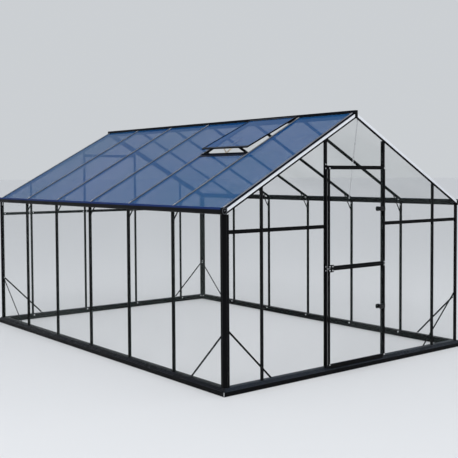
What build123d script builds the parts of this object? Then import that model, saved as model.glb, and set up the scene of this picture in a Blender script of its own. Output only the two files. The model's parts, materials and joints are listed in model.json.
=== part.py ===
"""Aluminium and glass greenhouse with a gable roof, a split door and a roof vent.

Frame: X runs across the gable, Y along the building with the door gable at -Y,
Z is up. The origin is the middle of the footprint at the underside of the base.
All sizes are in millimetres.
"""
from build123d import *
import os
from math import cos, radians, sin, sqrt, tan

# Overall form
bay = 740.0                # spacing of side wall bars and rafters
side_bays = 6
post_margin = 10.0         # from the outermost bar line to the corner post's outer face
half_length = side_bays * bay / 2 + post_margin
half_width = 1495.0        # from the middle to the corner posts' outer face
door_bay = 746.0           # spacing of the two door posts
wide_bay = 725.0           # spacing from a door post to the next gable bar
eave_seat_z = 1480.0       # glass seat of the roof above the side wall's outer face
roof_pitch = 29.1

# Base
base_height = 62.0
base_step = 22.0           # how far the base stands out past the posts
base_lip_z = 36.0          # top of the upright part of the outer face
base_shoulder = 2.0        # flat of the top outside the slope's upper edge
base_inner = 55.0          # depth of the base inside the posts' outer face
base_wall = 3.0

# Glazing
glass = 4.0
seat_depth = 14.0          # glass seat inside the posts' outer face
bar_width = 22.0
bar_depth = 18.0
bar_flange = 3.0
bar_web = 3.0
slot_depth = 9.0           # bolt channel at the inner edge of a bar
slot_width = 12.0
slot_wall = 2.0
slot_mouth = 5.0
cap_width = 22.0
cap_height = 5.0
cap_bevel = 3.0
pane_gap = 6.0             # between two panes on one bar
edge_gap = 1.0             # between a pane's edge and the piece that frames it

# Corner posts
post_leg = 50.0
post_chamfer = 22.0        # cut off the outer corner, measured along each face
post_cell = 37.0           # from the corner to the bottom of the glass slots
post_flange = 42.0         # from the corner to the end of the rear flanges
post_skin = 3.0
post_lip = 10.0
post_core = seat_depth + bar_depth

# Door posts and header
jamb_face = 28.0
jamb_core = 19.0
jamb_wall = 3.0
jamb_cover = 5.0
header_low = 1804.0        # sets the door's height
header_height = 34.0
header_depth = 25.0

# Cross rails and tie
rail_z = 1304.0
rail_height = 32.0
rail_flange = 3.0
rail_web = 3.0
tie_drop = 90.0            # under the roof's glass seat at the middle bars

# Eaves
gutter_drop = 34.0         # underside below the eave's glass seat
gutter_height = 57.0
gutter_out = 35.0
gutter_in = 30.0
gutter_wall = 3.0
gutter_round = 20.0
gutter_bead = 7.0
end_cap = 4.0

# Ridge
ridge_rise = 23.0          # above the roof's glass seat at the apex
ridge_web = 18.0
ridge_drop = 73.0
ridge_cheek = 16.0         # half width over the cheeks
ridge_skin = 3.0
ridge_cap = 8.0

# Verge bars
verge_sink = 2.0           # top of the outer part, below the roof's glass seat
verge_drop = 40.0          # underside, below the roof's glass seat
verge_wall = 3.0
verge_line = 37.0          # middle of the outermost cap, inside the gable's face
verge_shelf = 30.0
verge_shelf_drop = 18.0
verge_leg_drop = 28.0
trim_width = 23.0
trim_thick = 2.5
trim_end_gap = 3.0

# Braces
brace_width = 16.0
brace_thick = 3.0
corner_brace_reach = 510.0
side_brace_z = 522.0
gable_brace_z = 548.0
roof_brace_width = 8.0
roof_brace_thick = 2.0
knee_width = 12.0
knee_drop = 81.0           # from the gutter's underside to the lower end
knee_reach = 95.0          # inward from the side bar's inner edge

# Roof vent, held open
vent_bay = 1               # bay counted from the door gable
vent_side_gap = 2.0
vent_open_angle = 3.1
vent_hinge_x = 23.0
vent_hinge_rise = 6.0      # above the roof's glass seat at the apex
vent_hinge_radius = 6.5
vent_length = 694.0
vent_frame = 12.0
vent_side_bar = 10.0
vent_end_bar = 24.0
cill_gap = 41.0            # along the slope, from the sash's foot to the cill's upper edge
cill_width = 44.0
cill_wall = 4.0
cill_rise = 17.0
cill_drop = 3.0
cill_lap = 20.0

# Vent opener
opener_width = 30.0
opener_plate = 3.0
opener_reach = 36.0        # from the cill's upper edge inwards to the lower pin
opener_rise = 19.5         # from there up to the lower pin
opener_pin_radius = 5.0
opener_arm_width = 10.0
opener_strap_length = 250.0
cylinder_radius = 8.0
cylinder_end_gap = 18.0    # from each pin to the body of the cylinder
rod_radius = 4.0
knuckle_back = 202.0       # from the sash's foot inwards to the upper pin
knuckle_radius = 8.0
knuckle_drop = 4.0
eye_radius = 9.0
eye_width = 12.0
eye_clearance = 0.1

# Split door
leaf_gap = 6.5             # between a leaf and the faces behind it
leaf_thick = 18.0
leaf_lap = 7.0             # over each door post
header_lap = 24.0          # over the header
leaf_split = 934.0
split_gap = 5.2
stile = 20.0
split_rail = 17.0
end_rail = 18.0
glass_bite = 5.0
pivot_inset = 9.5          # from a leaf's hinge edge to the pivot line
pivot_depth = 11.0         # from a leaf's inner face to the pivot line
pivot_bevel_in = 7.0       # the leaf's edge is bevelled to turn past the post
pivot_bevel_out = 3.0
pin_radius = 3.5
pin_length = 8.0
pin_clearance = 0.5
pin_end_gap = 1.0
drip_drop = 18.0           # below the lower leaf
drip_thick = 3.0
drip_inset = 30.0
plate_width = 62.0
plate_height = 30.0
bracket_thick = 4.2
bracket_gap = 0.4
bracket_reach = 24.0
bracket_set_back = 1.0
bracket_leg = 50.0
bracket_leg_thick = 4.0

# Door handles
lower_handle_z = 535.0
upper_handle_z = 1442.0
spindle_inset = 24.0       # from the leaf's free edge
spindle_radius = 4.0
lock_depth = 40.0          # from the leaf's free edge
lock_height = 40.0
lock_proud = 3.0
hub_radius = 9.0
hub_length = 12.0
lever_reach = 62.0
lever_root = 16.0
lever_tip = 36.0
lever_thick = 10.0
handle_gap = 0.3

# Values worked out from the sizes above
pitch = radians(roof_pitch)
apex_seat_z = eave_seat_z + half_width * tan(pitch)
gutter_bottom = eave_seat_z - gutter_drop
ridge_top = apex_seat_z + ridge_rise
seat_x = half_width - seat_depth
seat_y = half_length - seat_depth
inner_x = seat_x - bar_depth
inner_y = seat_y - bar_depth
jamb_x = door_bay / 2
gable_bar_x = jamb_x + wide_bay
door_edge = jamb_x - jamb_face / 2
jamb_inner = jamb_x + jamb_face / 2
bar_ys = [(i - side_bays / 2) * bay for i in range(1, side_bays)]
gutter_inner_x = half_width - gutter_in
tie_z = apex_seat_z - jamb_x * tan(pitch) - tie_drop
leaf_inner_y = half_length + leaf_gap - jamb_cover
leaf_outer_y = leaf_inner_y + leaf_thick
leaf_right = door_edge + leaf_lap
leaf_left = -leaf_right
leaf_bottom = base_height + leaf_gap
leaf_top = header_low + header_lap
drip_low = leaf_bottom - drip_drop
lock_left = leaf_right - lock_depth
spindle_x = leaf_right - spindle_inset
pivot_x = leaf_left + pivot_inset
pivot_y = -(leaf_inner_y + pivot_depth)
cover_y = half_length - jamb_cover
cut_reach = 300.0          # more than any cut through a bar needs

os.makedirs("parts", exist_ok=True)


def seat_z(x):
    """Height of the roof's glass seat at a distance x from the middle."""
    return apex_seat_z - abs(x) * tan(pitch)


def roof_plane(side, height=0.0):
    """Plane of one slope: local X runs down from the apex, local Z points out."""
    normal = Vector(side * sin(pitch), 0, cos(pitch))
    return Plane(
        origin=Vector(0, 0, apex_seat_z) + normal * height,
        x_dir=(side * cos(pitch), 0, -sin(pitch)),
        z_dir=normal,
    )


def slope_section_plane(side):
    """Plane across one slope at the apex: local Y points out of the roof."""
    return Plane(
        origin=(0, 0, apex_seat_z),
        x_dir=(0, side, 0),
        z_dir=(side * cos(pitch), 0, -sin(pitch)),
    )


def save(part, name):
    """Names a finished piece and writes it."""
    part.label = name
    export_step(part, f"parts/{name}.step")


def between_x(low, high):
    """Keeps what lies between two upright planes across the building."""
    split(bisect_by=Plane.YZ.offset(low), keep=Keep.TOP)
    split(bisect_by=Plane.YZ.offset(high), keep=Keep.BOTTOM)


def under_roof(drop):
    """Keeps what lies below both slopes, a square distance under the glass seat."""
    for side in (-1, 1):
        split(bisect_by=roof_plane(side, -drop), keep=Keep.BOTTOM)


# Sections shared by several pieces, drawn with the outside of the wall at +Y

def glazing_bar_outline():
    """T bar with a bolt channel, its glass seat on the X axis."""
    half = bar_width / 2
    web = bar_web / 2
    slot = slot_width / 2
    mouth = slot_mouth / 2
    slot_y = slot_depth - bar_depth
    points = [
        (half, 0),
        (half, -bar_flange),
        (web, -bar_flange),
        (web, slot_y),
        (slot, slot_y),
        (slot, -bar_depth),
        (mouth, -bar_depth),
        (mouth, -bar_depth + slot_wall),
        (slot - slot_wall, -bar_depth + slot_wall),
        (slot - slot_wall, slot_y - slot_wall),
    ]
    return points + [(-x, y) for x, y in reversed(points)]


with BuildSketch() as glazing_bar_section:
    with BuildLine():
        Polyline(*glazing_bar_outline(), close=True)
    make_face()

with BuildSketch() as cap_section:
    with BuildLine():
        Polyline(
            (-cap_width / 2, glass),
            (cap_width / 2, glass),
            (cap_width / 2, glass + cap_height - cap_bevel),
            (cap_width / 2 - cap_bevel, glass + cap_height),
            (cap_bevel - cap_width / 2, glass + cap_height),
            (-cap_width / 2, glass + cap_height - cap_bevel),
            close=True,
        )
    make_face()

post_rear = seat_depth + bar_flange

with BuildSketch() as post_section:
    with BuildLine():
        Polyline(
            (post_chamfer, 0),
            (post_leg, 0),
            (post_leg, post_lip),
            (post_leg - post_skin, post_lip),
            (post_leg - post_skin, post_skin),
            (post_cell, post_skin),
            (post_cell, seat_depth),
            (post_flange, seat_depth),
            (post_flange, post_rear),
            (post_core, post_rear),
            (post_core, post_core),
            (post_rear, post_core),
            (post_rear, post_flange),
            (seat_depth, post_flange),
            (seat_depth, post_cell),
            (post_skin, post_cell),
            (post_skin, post_leg - post_skin),
            (post_lip, post_leg - post_skin),
            (post_lip, post_leg),
            (0, post_leg),
            (0, post_chamfer),
            close=True,
        )
    make_face()
    with BuildLine():
        bevel = post_chamfer + (sqrt(2) - 1) * post_skin
        Polyline(
            (bevel, post_skin),
            (post_cell - post_skin, post_skin),
            (post_cell - post_skin, seat_depth),
            (seat_depth, seat_depth),
            (seat_depth, post_cell - post_skin),
            (post_skin, post_cell - post_skin),
            (post_skin, bevel),
            close=True,
        )
    make_face(mode=Mode.SUBTRACT)
    core_middle = (post_rear + post_core) / 2
    core_side = post_core - post_rear - 2 * post_skin
    with Locations((core_middle, core_middle)):
        Rectangle(core_side, core_side, mode=Mode.SUBTRACT)

with BuildSketch() as jamb_section:
    with BuildLine():
        face = jamb_face / 2
        core = face - jamb_core
        back = -(seat_depth + bar_depth)
        Polyline(
            (-face, -jamb_cover),
            (face, -jamb_cover),
            (face, back),
            (core, back),
            (core, -seat_depth - bar_flange),
            (-face, -seat_depth - bar_flange),
            (-face, -seat_depth),
            (core, -seat_depth),
            (core, -seat_depth + glass),
            (-face, -seat_depth + glass),
            close=True,
        )
    make_face()
    with Locations((face - jamb_core / 2, (back - jamb_cover) / 2 - jamb_wall / 2)):
        Rectangle(
            jamb_core - 2 * jamb_wall,
            -back - jamb_cover - 3 * jamb_wall,
            mode=Mode.SUBTRACT,
        )


# Base rails, hollow and mitred at the corners

def base_rail(name, outer, half_run, across):
    """Rail along one side; its section is drawn with the outside at +X."""
    with BuildPart() as rail:
        with BuildSketch(Plane.XZ.offset(-half_run - base_step)):
            with BuildLine():
                Polyline(
                    (outer + base_step, 0),
                    (outer + base_step, base_lip_z),
                    (outer - base_shoulder, base_height),
                    (outer - base_inner, base_height),
                    (outer - base_inner, 0),
                    close=True,
                )
            make_face()
            offset(amount=-base_wall, kind=Kind.INTERSECTION, mode=Mode.SUBTRACT)
        extrude(amount=2 * (half_run + base_step))
        corner = (outer + base_step, half_run + base_step, 0)
        split(bisect_by=Plane(corner, z_dir=(-1, 1, 0)), keep=Keep.BOTTOM)
        near = (outer + base_step, -half_run - base_step, 0)
        split(bisect_by=Plane(near, z_dir=(-1, -1, 0)), keep=Keep.BOTTOM)
    save(rail.part.rotate(Axis.Z, across), name)


base_rail("base_right", half_width, half_length, 0)
base_rail("base_back", half_length, half_width, 90)
base_rail("base_left", half_width, half_length, 180)
base_rail("base_front", half_length, half_width, 270)


# Corner posts stand on the base and carry the gutters

with BuildPart() as corner_posts:
    with BuildSketch(Plane.XY.offset(base_height)):
        with Locations(Location((-half_width, -half_length))):
            add(post_section.sketch)
        mirror(about=Plane.YZ)
        mirror(about=Plane.XZ)
    extrude(amount=gutter_bottom - base_height)
save(corner_posts.part, "corner_posts")


# Side walls

def side_bars(name, side, section, top):
    with BuildPart() as bars:
        with BuildSketch(Plane.XY.offset(base_height)):
            with Locations(*[(side * seat_x, y) for y in bar_ys]):
                add(section.sketch, rotation=-90 * side)
        extrude(amount=top - base_height)
    save(bars.part, name)


def side_glass(name, side):
    """One pane a bay, from the base to the gutter."""
    with BuildPart() as panes:
        with BuildSketch(Plane.XY.offset(base_height)):
            edge = half_length - post_cell - edge_gap
            lines = [-edge - pane_gap / 2] + bar_ys + [edge + pane_gap / 2]
            for low, high in zip(lines, lines[1:]):
                with Locations((side * (seat_x + glass / 2), (low + high) / 2)):
                    Rectangle(glass, high - low - pane_gap)
        extrude(amount=gutter_bottom - base_height - edge_gap)
    save(panes.part, name)


side_bars("left_wall_bars", -1, glazing_bar_section, gutter_bottom)
side_bars("right_wall_bars", 1, glazing_bar_section, gutter_bottom)
side_bars("left_wall_caps", -1, cap_section, gutter_bottom)
side_bars("right_wall_caps", 1, cap_section, gutter_bottom)
side_glass("left_wall_glass", -1)
side_glass("right_wall_glass", 1)


# Gables

def gable_bars(name, end, section, xs, drop):
    """Upright bars from the base to the verge bars; end is -1 at the door gable."""
    with BuildPart() as bars:
        with BuildSketch(Plane.XY.offset(base_height)):
            with Locations(*[(x, end * seat_y) for x in xs]):
                add(section.sketch, rotation=90 - 90 * end)
        extrude(amount=apex_seat_z - base_height)
        under_roof(drop)
    save(bars.part, name)


gable_xs = [-gable_bar_x, gable_bar_x]
back_xs = [-gable_bar_x, -jamb_x, jamb_x, gable_bar_x]
gable_bars("front_gable_bars", -1, glazing_bar_section, gable_xs, verge_leg_drop)
gable_bars("back_gable_bars", 1, glazing_bar_section, back_xs, verge_leg_drop)
gable_bars("front_gable_caps", -1, cap_section, gable_xs, verge_drop)
gable_bars("back_gable_caps", 1, cap_section, back_xs, verge_drop)

with BuildPart() as door_posts:
    with BuildSketch(Plane.XY.offset(base_height)):
        with Locations(Location((jamb_x, -half_length, 0), (0, 0, 180))):
            add(jamb_section.sketch)
        mirror(about=Plane.YZ)
    extrude(amount=apex_seat_z - base_height)
    under_roof(verge_drop)
save(door_posts.part, "door_posts")

with BuildPart() as door_header:
    with BuildSketch(Plane.YZ.offset(-door_edge)):
        with Locations((-cover_y + header_depth / 2, header_low + header_height / 2)):
            Rectangle(header_depth, header_height)
            Rectangle(
                header_depth - 2 * base_wall,
                header_height - 2 * base_wall,
                mode=Mode.SUBTRACT,
            )
    extrude(amount=2 * door_edge)
save(door_header.part, "door_header")


def cross_rails(name, end, spans, z):
    """H rails that join an upper and a lower pane between two bars."""
    with BuildPart() as rails:
        for low, high in spans:
            with BuildSketch(Plane.YZ.offset(low)):
                inner = end * (seat_y - rail_flange / 2)
                outer = end * (seat_y + glass + rail_flange / 2)
                with Locations((inner, z), (outer, z)):
                    Rectangle(rail_flange, rail_height)
                with Locations((end * (seat_y + glass / 2), z)):
                    Rectangle(glass, rail_web)
            extrude(amount=high - low)
    save(rails.part, name)


post_edge = half_width - post_leg
bar_half = bar_width / 2
narrow_span = (gable_bar_x + bar_half, post_edge)
front_wide_span = (jamb_inner, gable_bar_x - bar_half)
back_wide_span = (jamb_x + bar_half, gable_bar_x - bar_half)
middle_span = (bar_half - jamb_x, jamb_x - bar_half)


def both_sides(spans):
    return [(-high, -low) for low, high in spans] + spans


cross_rails("front_cross_rails", -1, both_sides([narrow_span, front_wide_span]), rail_z)
back_rail_spans = both_sides([narrow_span, back_wide_span]) + [middle_span]
cross_rails("back_cross_rails", 1, back_rail_spans, rail_z)
cross_rails("back_gable_tie", 1, [middle_span], tie_z)


def gable_glass(name, end, columns):
    """Panes given as columns (low x, high x, edges of panes in z)."""
    with BuildPart() as panes:
        face = Plane.XZ.offset(-end * (seat_y + glass / 2) - glass / 2)
        with BuildSketch(face):
            for low, high, levels in columns:
                for bottom, top in zip(levels, levels[1:]):
                    with Locations(((low + high) / 2, (bottom + top) / 2)):
                        Rectangle(high - low, top - bottom - rail_web)
        extrude(amount=glass)
        under_roof(verge_sink + verge_wall + edge_gap)
        with Locations((0, end * seat_y, ridge_top)):
            Box(ridge_web + 2 * edge_gap, cut_reach, 2 * (ridge_drop + edge_gap),
                mode=Mode.SUBTRACT)
    save(panes.part, name)


pane_foot = base_height - rail_web / 2
pane_top = apex_seat_z
post_glass_edge = half_width - post_cell - edge_gap
bar_glass_edge = pane_gap / 2
two_high = [pane_foot, rail_z, pane_top]
three_high = [pane_foot, rail_z, tie_z, pane_top]
outer_column = (gable_bar_x + bar_glass_edge, post_glass_edge, two_high)
front_column = (jamb_x + jamb_core - jamb_face / 2 + edge_gap,
                gable_bar_x - bar_glass_edge, two_high)
back_column = (jamb_x + bar_glass_edge, gable_bar_x - bar_glass_edge, two_high)
transom = (edge_gap - door_edge, door_edge - edge_gap,
           [header_low + header_height - rail_web / 2, pane_top])
middle_column = (bar_glass_edge - jamb_x, jamb_x - bar_glass_edge, three_high)


def mirrored(columns):
    return [(-high, -low, levels) for low, high, levels in columns] + columns


gable_glass("front_gable_glass", -1, mirrored([outer_column, front_column]) + [transom])
gable_glass("back_gable_glass", 1, mirrored([outer_column, back_column]) + [middle_column])


# Eaves: open gutter troughs that also cap the side walls

def gutter_edge(x, z):
    """Point of the gutter's section on the right side."""
    return (half_width + x, gutter_bottom + z)


gutter_bend = gutter_out - gutter_round
gutter_lining = gutter_out - gutter_wall
gutter_inner_top = seat_z(gutter_inner_x + gutter_wall) - gutter_bottom

with BuildSketch() as gutter_section:
    with BuildLine():
        Polyline(
            gutter_edge(-gutter_in + gutter_wall, gutter_wall),
            gutter_edge(-gutter_in + gutter_wall, gutter_inner_top),
            gutter_edge(-gutter_in, gutter_inner_top),
            gutter_edge(-gutter_in, 0),
            gutter_edge(gutter_bend, 0),
        )
        JernArc(gutter_edge(gutter_bend, 0), (1, 0), gutter_round, 90)
        Polyline(
            gutter_edge(gutter_out, gutter_round),
            gutter_edge(gutter_out, gutter_height),
            gutter_edge(gutter_out - gutter_bead, gutter_height),
            gutter_edge(gutter_out - gutter_bead, gutter_height - gutter_wall),
            gutter_edge(gutter_lining, gutter_height - gutter_wall),
            gutter_edge(gutter_lining, gutter_round),
        )
        JernArc(
            gutter_edge(gutter_lining, gutter_round),
            (0, -1),
            gutter_round - gutter_wall,
            -90,
        )
        Line(
            gutter_edge(gutter_bend, gutter_wall),
            gutter_edge(-gutter_in + gutter_wall, gutter_wall),
        )
    make_face()

with BuildPart() as right_gutter:
    with BuildSketch(Plane.XZ.offset(-half_length)):
        add(gutter_section.sketch)
    extrude(amount=2 * half_length)
save(right_gutter.part, "right_gutter")

with BuildPart() as left_gutter:
    add(right_gutter.part)
    mirror(about=Plane.YZ, mode=Mode.REPLACE)
save(left_gutter.part, "left_gutter")

with BuildPart() as gutter_end_caps:
    with BuildSketch(Plane.XZ.offset(half_length)):
        with Locations((half_width + (gutter_out - gutter_in) / 2,
                        gutter_bottom + gutter_height / 2)):
            RectangleRounded(gutter_out + gutter_in, gutter_height, gutter_round)
    extrude(amount=end_cap)
    mirror(about=Plane.YZ)
    mirror(about=Plane.XZ)
save(gutter_end_caps.part, "gutter_end_caps")


# Ridge

ridge_low = ridge_top - ridge_drop
cheek_low = seat_z(ridge_cheek - ridge_skin) + glass / cos(pitch) + handle_gap


ridge_half = [
    (ridge_cheek, ridge_top),
    (ridge_cheek, cheek_low),
    (ridge_cheek - ridge_skin, cheek_low),
    (ridge_cheek - ridge_skin, ridge_top - ridge_cap),
    (ridge_web / 2, ridge_top - ridge_cap),
    (ridge_web / 2, ridge_low),
]

with BuildSketch() as ridge_section:
    with BuildLine():
        Polyline(*ridge_half, *[(-x, z) for x, z in reversed(ridge_half)], close=True)
    make_face()
    with Locations((0, (ridge_top - ridge_cap + ridge_low) / 2)):
        Rectangle(
            ridge_web - 2 * ridge_skin,
            ridge_drop - ridge_cap - 2 * ridge_skin,
            mode=Mode.SUBTRACT,
        )

with BuildPart() as ridge_bar:
    with BuildSketch(Plane.XZ.offset(-half_length)):
        add(ridge_section.sketch)
    extrude(amount=2 * half_length)
save(ridge_bar.part, "ridge_bar")

with BuildPart() as ridge_end_caps:
    with BuildSketch(Plane.XZ.offset(half_length)):
        with Locations((0, ridge_top - ridge_drop / 2)):
            RectangleRounded(2 * ridge_cheek, ridge_drop, ridge_skin)
    extrude(amount=end_cap)
    mirror(about=Plane.XZ)
save(ridge_end_caps.part, "ridge_end_caps")


# Rafters with their caps, and the roof panes

slope_run = half_width / cos(pitch)


def slope_bars(name, side, section, ys, near_x, far_x):
    """Bars down one slope, cut upright at both ends."""
    with BuildPart() as bars:
        with BuildSketch(slope_section_plane(side)):
            with Locations(*[(side * y, 0) for y in ys]):
                add(section.sketch)
        extrude(amount=slope_run, both=True)
        low, high = sorted((side * near_x, side * far_x))
        between_x(low, high)
    save(bars.part, name)


cap_foot_x = half_width - cap_bevel - cap_height
verge_y = half_length - verge_line
cap_ys = [-verge_y] + bar_ys + [verge_y]
for label, side in (("left", -1), ("right", 1)):
    slope_bars(f"{label}_rafters", side, glazing_bar_section, bar_ys,
               ridge_web / 2, gutter_inner_x)
    slope_bars(f"{label}_rafter_caps", side, cap_section, cap_ys,
               ridge_cheek, cap_foot_x)

glass_head = (ridge_web / 2 + edge_gap) / cos(pitch)
glass_foot = (half_width - cap_height) / cos(pitch)
vent_low_y = -half_length + post_margin + vent_bay * bay
vent_mid_y = vent_low_y + bay / 2
cill_top = vent_length + cill_gap
vent_glass_head = cill_top + cill_wall


def roof_glass(name, side, open_bay=None):
    """One pane a bay; the bay with the vent has glass only below its cill."""
    with BuildPart() as panes:
        with BuildSketch(roof_plane(side)):
            for i, (low, high) in enumerate(zip(cap_ys, cap_ys[1:])):
                head = vent_glass_head if i == open_bay else glass_head
                with Locations(((head + glass_foot) / 2, side * (low + high) / 2)):
                    Rectangle(glass_foot - head, high - low - pane_gap)
        extrude(amount=glass)
    save(panes.part, name)


roof_glass("left_roof_glass", -1, open_bay=vent_bay)
roof_glass("right_roof_glass", 1)


# Verge bars along the gable edges, with a pale trim on their faces

verge_stop = verge_line - cap_width / 2
verge_outline = [
    (0, -verge_sink),
    (verge_stop, -verge_sink),
    (verge_stop, glass),
    (verge_stop + verge_wall, glass),
    (verge_stop + verge_wall, 0),
    (verge_line + cap_width / 2, 0),
    (verge_line + cap_width / 2, -verge_wall),
    (verge_shelf, -verge_wall),
    (verge_shelf, -verge_shelf_drop),
    (seat_depth + verge_wall, -verge_shelf_drop),
    (seat_depth + verge_wall, -verge_leg_drop),
    (seat_depth, -verge_leg_drop),
    (seat_depth, -verge_sink - verge_wall),
    (verge_wall, -verge_sink - verge_wall),
    (verge_wall, verge_wall - verge_drop),
    (seat_depth - glass, verge_wall - verge_drop),
    (seat_depth - glass, -verge_drop),
    (0, -verge_drop),
]


def verge_bar(name, end):
    """Both verge bars of one gable; end is -1 at the door gable."""
    with BuildPart() as bars:
        for side in (-1, 1):
            with BuildSketch(slope_section_plane(side)):
                with BuildLine():
                    Polyline(
                        *[(side * end * (half_length - d), h) for d, h in verge_outline],
                        close=True,
                    )
                make_face()
            extrude(amount=slope_run)
        split(bisect_by=Plane.YZ.offset(gutter_inner_x), keep=Keep.BOTTOM)
        split(bisect_by=Plane.YZ.offset(-gutter_inner_x), keep=Keep.TOP)
        with Locations((0, end * half_length, ridge_top)):
            Box(2 * ridge_cheek, cut_reach, cut_reach, mode=Mode.SUBTRACT)
    save(bars.part, name)


verge_bar("front_verge_bars", -1)
verge_bar("back_verge_bars", 1)

with BuildPart() as verge_trims:
    for side in (-1, 1):
        for end in (-1, 1):
            with BuildSketch(slope_section_plane(side)):
                with Locations((side * end * (half_length + trim_thick / 2),
                                -verge_sink - trim_width / 2)):
                    Rectangle(trim_thick, trim_width)
            extrude(amount=slope_run)
    trim_foot = gutter_inner_x - trim_end_gap
    split(bisect_by=Plane.YZ.offset(trim_foot), keep=Keep.BOTTOM)
    split(bisect_by=Plane.YZ.offset(-trim_foot), keep=Keep.TOP)
    trim_gap = 2 * (ridge_cheek + trim_end_gap)
    with Locations((0, 0, ridge_top)):
        Box(trim_gap, 2 * half_length + cut_reach, cut_reach, mode=Mode.SUBTRACT)
save(verge_trims.part, "verge_trims")


# Braces

def strap_outline(start, end, width):
    """Corners of a flat strap between two points."""
    a = Vector(*start)
    b = Vector(*end)
    across = (b - a).normalized().rotate(Axis.Z, 90) * (width / 2)
    return [tuple(p)[:2] for p in (a + across, b + across, b - across, a - across)]


with BuildPart() as corner_braces:
    foot = (half_width - corner_brace_reach, base_height)
    head = (half_width - core_middle, gable_brace_z)
    with BuildSketch(Plane.XZ.offset(inner_y - brace_thick)):
        with BuildLine():
            Polyline(*strap_outline(head, foot, brace_width), close=True)
        make_face()
    extrude(amount=brace_thick)
    foot = (half_length - corner_brace_reach, base_height)
    head = (half_length - core_middle, side_brace_z)
    with BuildSketch(Plane.YZ.offset(inner_x - brace_thick)):
        with BuildLine():
            Polyline(*[(-y, z) for y, z in strap_outline(head, foot, brace_width)], close=True)
        make_face()
    extrude(amount=brace_thick)
    split(bisect_by=Plane.XY.offset(base_height), keep=Keep.TOP)
    mirror(about=Plane.YZ)
    mirror(about=Plane.XZ)
save(corner_braces.part, "corner_braces")

with BuildPart() as roof_braces:
    head = ((ridge_cheek + brace_width) / cos(pitch) + verge_shelf, half_length - verge_shelf)
    foot = ((inner_x - brace_width) / cos(pitch), bay)
    with BuildSketch(roof_plane(1, -bar_depth - roof_brace_thick)):
        with BuildLine():
            Polyline(*strap_outline(head, foot, roof_brace_width), close=True)
        make_face()
    extrude(amount=roof_brace_thick)
    mirror(about=Plane.YZ)
    mirror(about=Plane.XZ)
save(roof_braces.part, "roof_braces")

with BuildPart() as knee_braces:
    foot = (inner_x + slot_depth / 2, gutter_bottom - knee_drop)
    head_x = inner_x - knee_reach
    head = (head_x, seat_z(head_x) - (bar_depth - slot_depth / 2) / cos(pitch))
    for y in bar_ys:
        with BuildSketch(Plane.XZ.offset(-y - slot_width / 2 - brace_thick)):
            with BuildLine():
                Polyline(*strap_outline(foot, head, knee_width), close=True)
            make_face()
        extrude(amount=brace_thick)
    mirror(about=Plane.YZ)
save(knee_braces.part, "knee_braces")


# Roof vent: hinged at the ridge and held open over its cill

vent_width = bay - bar_width - 2 * vent_side_gap
vent_pitch = pitch - radians(vent_open_angle)
vent_hinge_z = apex_seat_z + vent_hinge_rise
vent_plane = Plane(
    origin=(-vent_hinge_x, vent_mid_y, vent_hinge_z),
    x_dir=(-cos(vent_pitch), 0, -sin(vent_pitch)),
    z_dir=(-sin(vent_pitch), 0, cos(vent_pitch)),
)
vent_glass_plane = vent_plane.offset(-glass / 2)
vent_pane_low = vent_end_bar / 2
vent_pane_high = vent_length - vent_end_bar / 2

with BuildPart() as vent_sash:
    with BuildSketch(vent_plane.offset(-vent_frame / 2)):
        with Locations((vent_length / 2, 0)):
            Rectangle(vent_length, vent_width)
            Rectangle(
                vent_length - 2 * vent_end_bar,
                vent_width - 2 * vent_side_bar,
                mode=Mode.SUBTRACT,
            )
    extrude(amount=vent_frame)
    with BuildSketch(vent_glass_plane):
        with Locations(((vent_pane_low + vent_pane_high) / 2, 0)):
            Rectangle(vent_pane_high - vent_pane_low, vent_width - vent_side_bar)
    extrude(amount=glass, mode=Mode.SUBTRACT)
    with BuildSketch(Plane.XZ.offset(-vent_mid_y - vent_width / 2)):
        with Locations((-vent_hinge_x, vent_hinge_z)):
            Circle(vent_hinge_radius)
    extrude(amount=vent_width)
save(vent_sash.part, "vent_sash")

with BuildPart() as vent_glass:
    with BuildSketch(vent_glass_plane):
        with Locations(((vent_pane_low + vent_pane_high) / 2, 0)):
            Rectangle(vent_pane_high - vent_pane_low, vent_width - vent_side_bar)
    extrude(amount=glass)
save(vent_glass.part, "vent_glass")

with BuildPart() as vent_cill:
    with BuildSketch(Plane(
        origin=(0, vent_mid_y - bay / 2 + bar_half, apex_seat_z),
        x_dir=(-cos(pitch), 0, -sin(pitch)),
        z_dir=(0, 1, 0),
    )):
        with BuildLine():
            Polyline(
                (cill_top, cill_rise),
                (cill_top + cill_wall, cill_rise),
                (cill_top + cill_wall, glass + cill_wall),
                (cill_top + cill_width, glass + cill_wall),
                (cill_top + cill_width, glass),
                (cill_top + cill_wall, glass),
                (cill_top + cill_wall, 0),
                (cill_top + cill_lap, 0),
                (cill_top + cill_lap, -cill_drop),
                (cill_top, -cill_drop),
                close=True,
            )
        make_face()
    extrude(amount=bay - bar_width)
save(vent_cill.part, "vent_cill")


def opener_plane(offset_y):
    """Upright plane across the vent's middle; local X points to the left eave."""
    return Plane(origin=(0, vent_mid_y + offset_y, 0), x_dir=(-1, 0, 0), z_dir=(0, 1, 0))


def vent_under(x):
    """Height of the sash's underside at a distance x from the middle line."""
    fall = (x - vent_hinge_x) * tan(vent_pitch)
    return vent_hinge_z - fall - vent_frame / 2 / cos(vent_pitch)


def cill_face(height):
    """Point of the cill's upper face, at a height over the glass seat."""
    return (
        cill_top * cos(pitch) + height * sin(pitch),
        apex_seat_z - cill_top * sin(pitch) + height * cos(pitch),
    )


opener_half = opener_width / 2
opener_pivot_x = cill_face(0)[0] - opener_reach
opener_pivot_z = cill_face(0)[1] + opener_rise
sash_under = vent_plane.offset(-vent_frame / 2)

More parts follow.
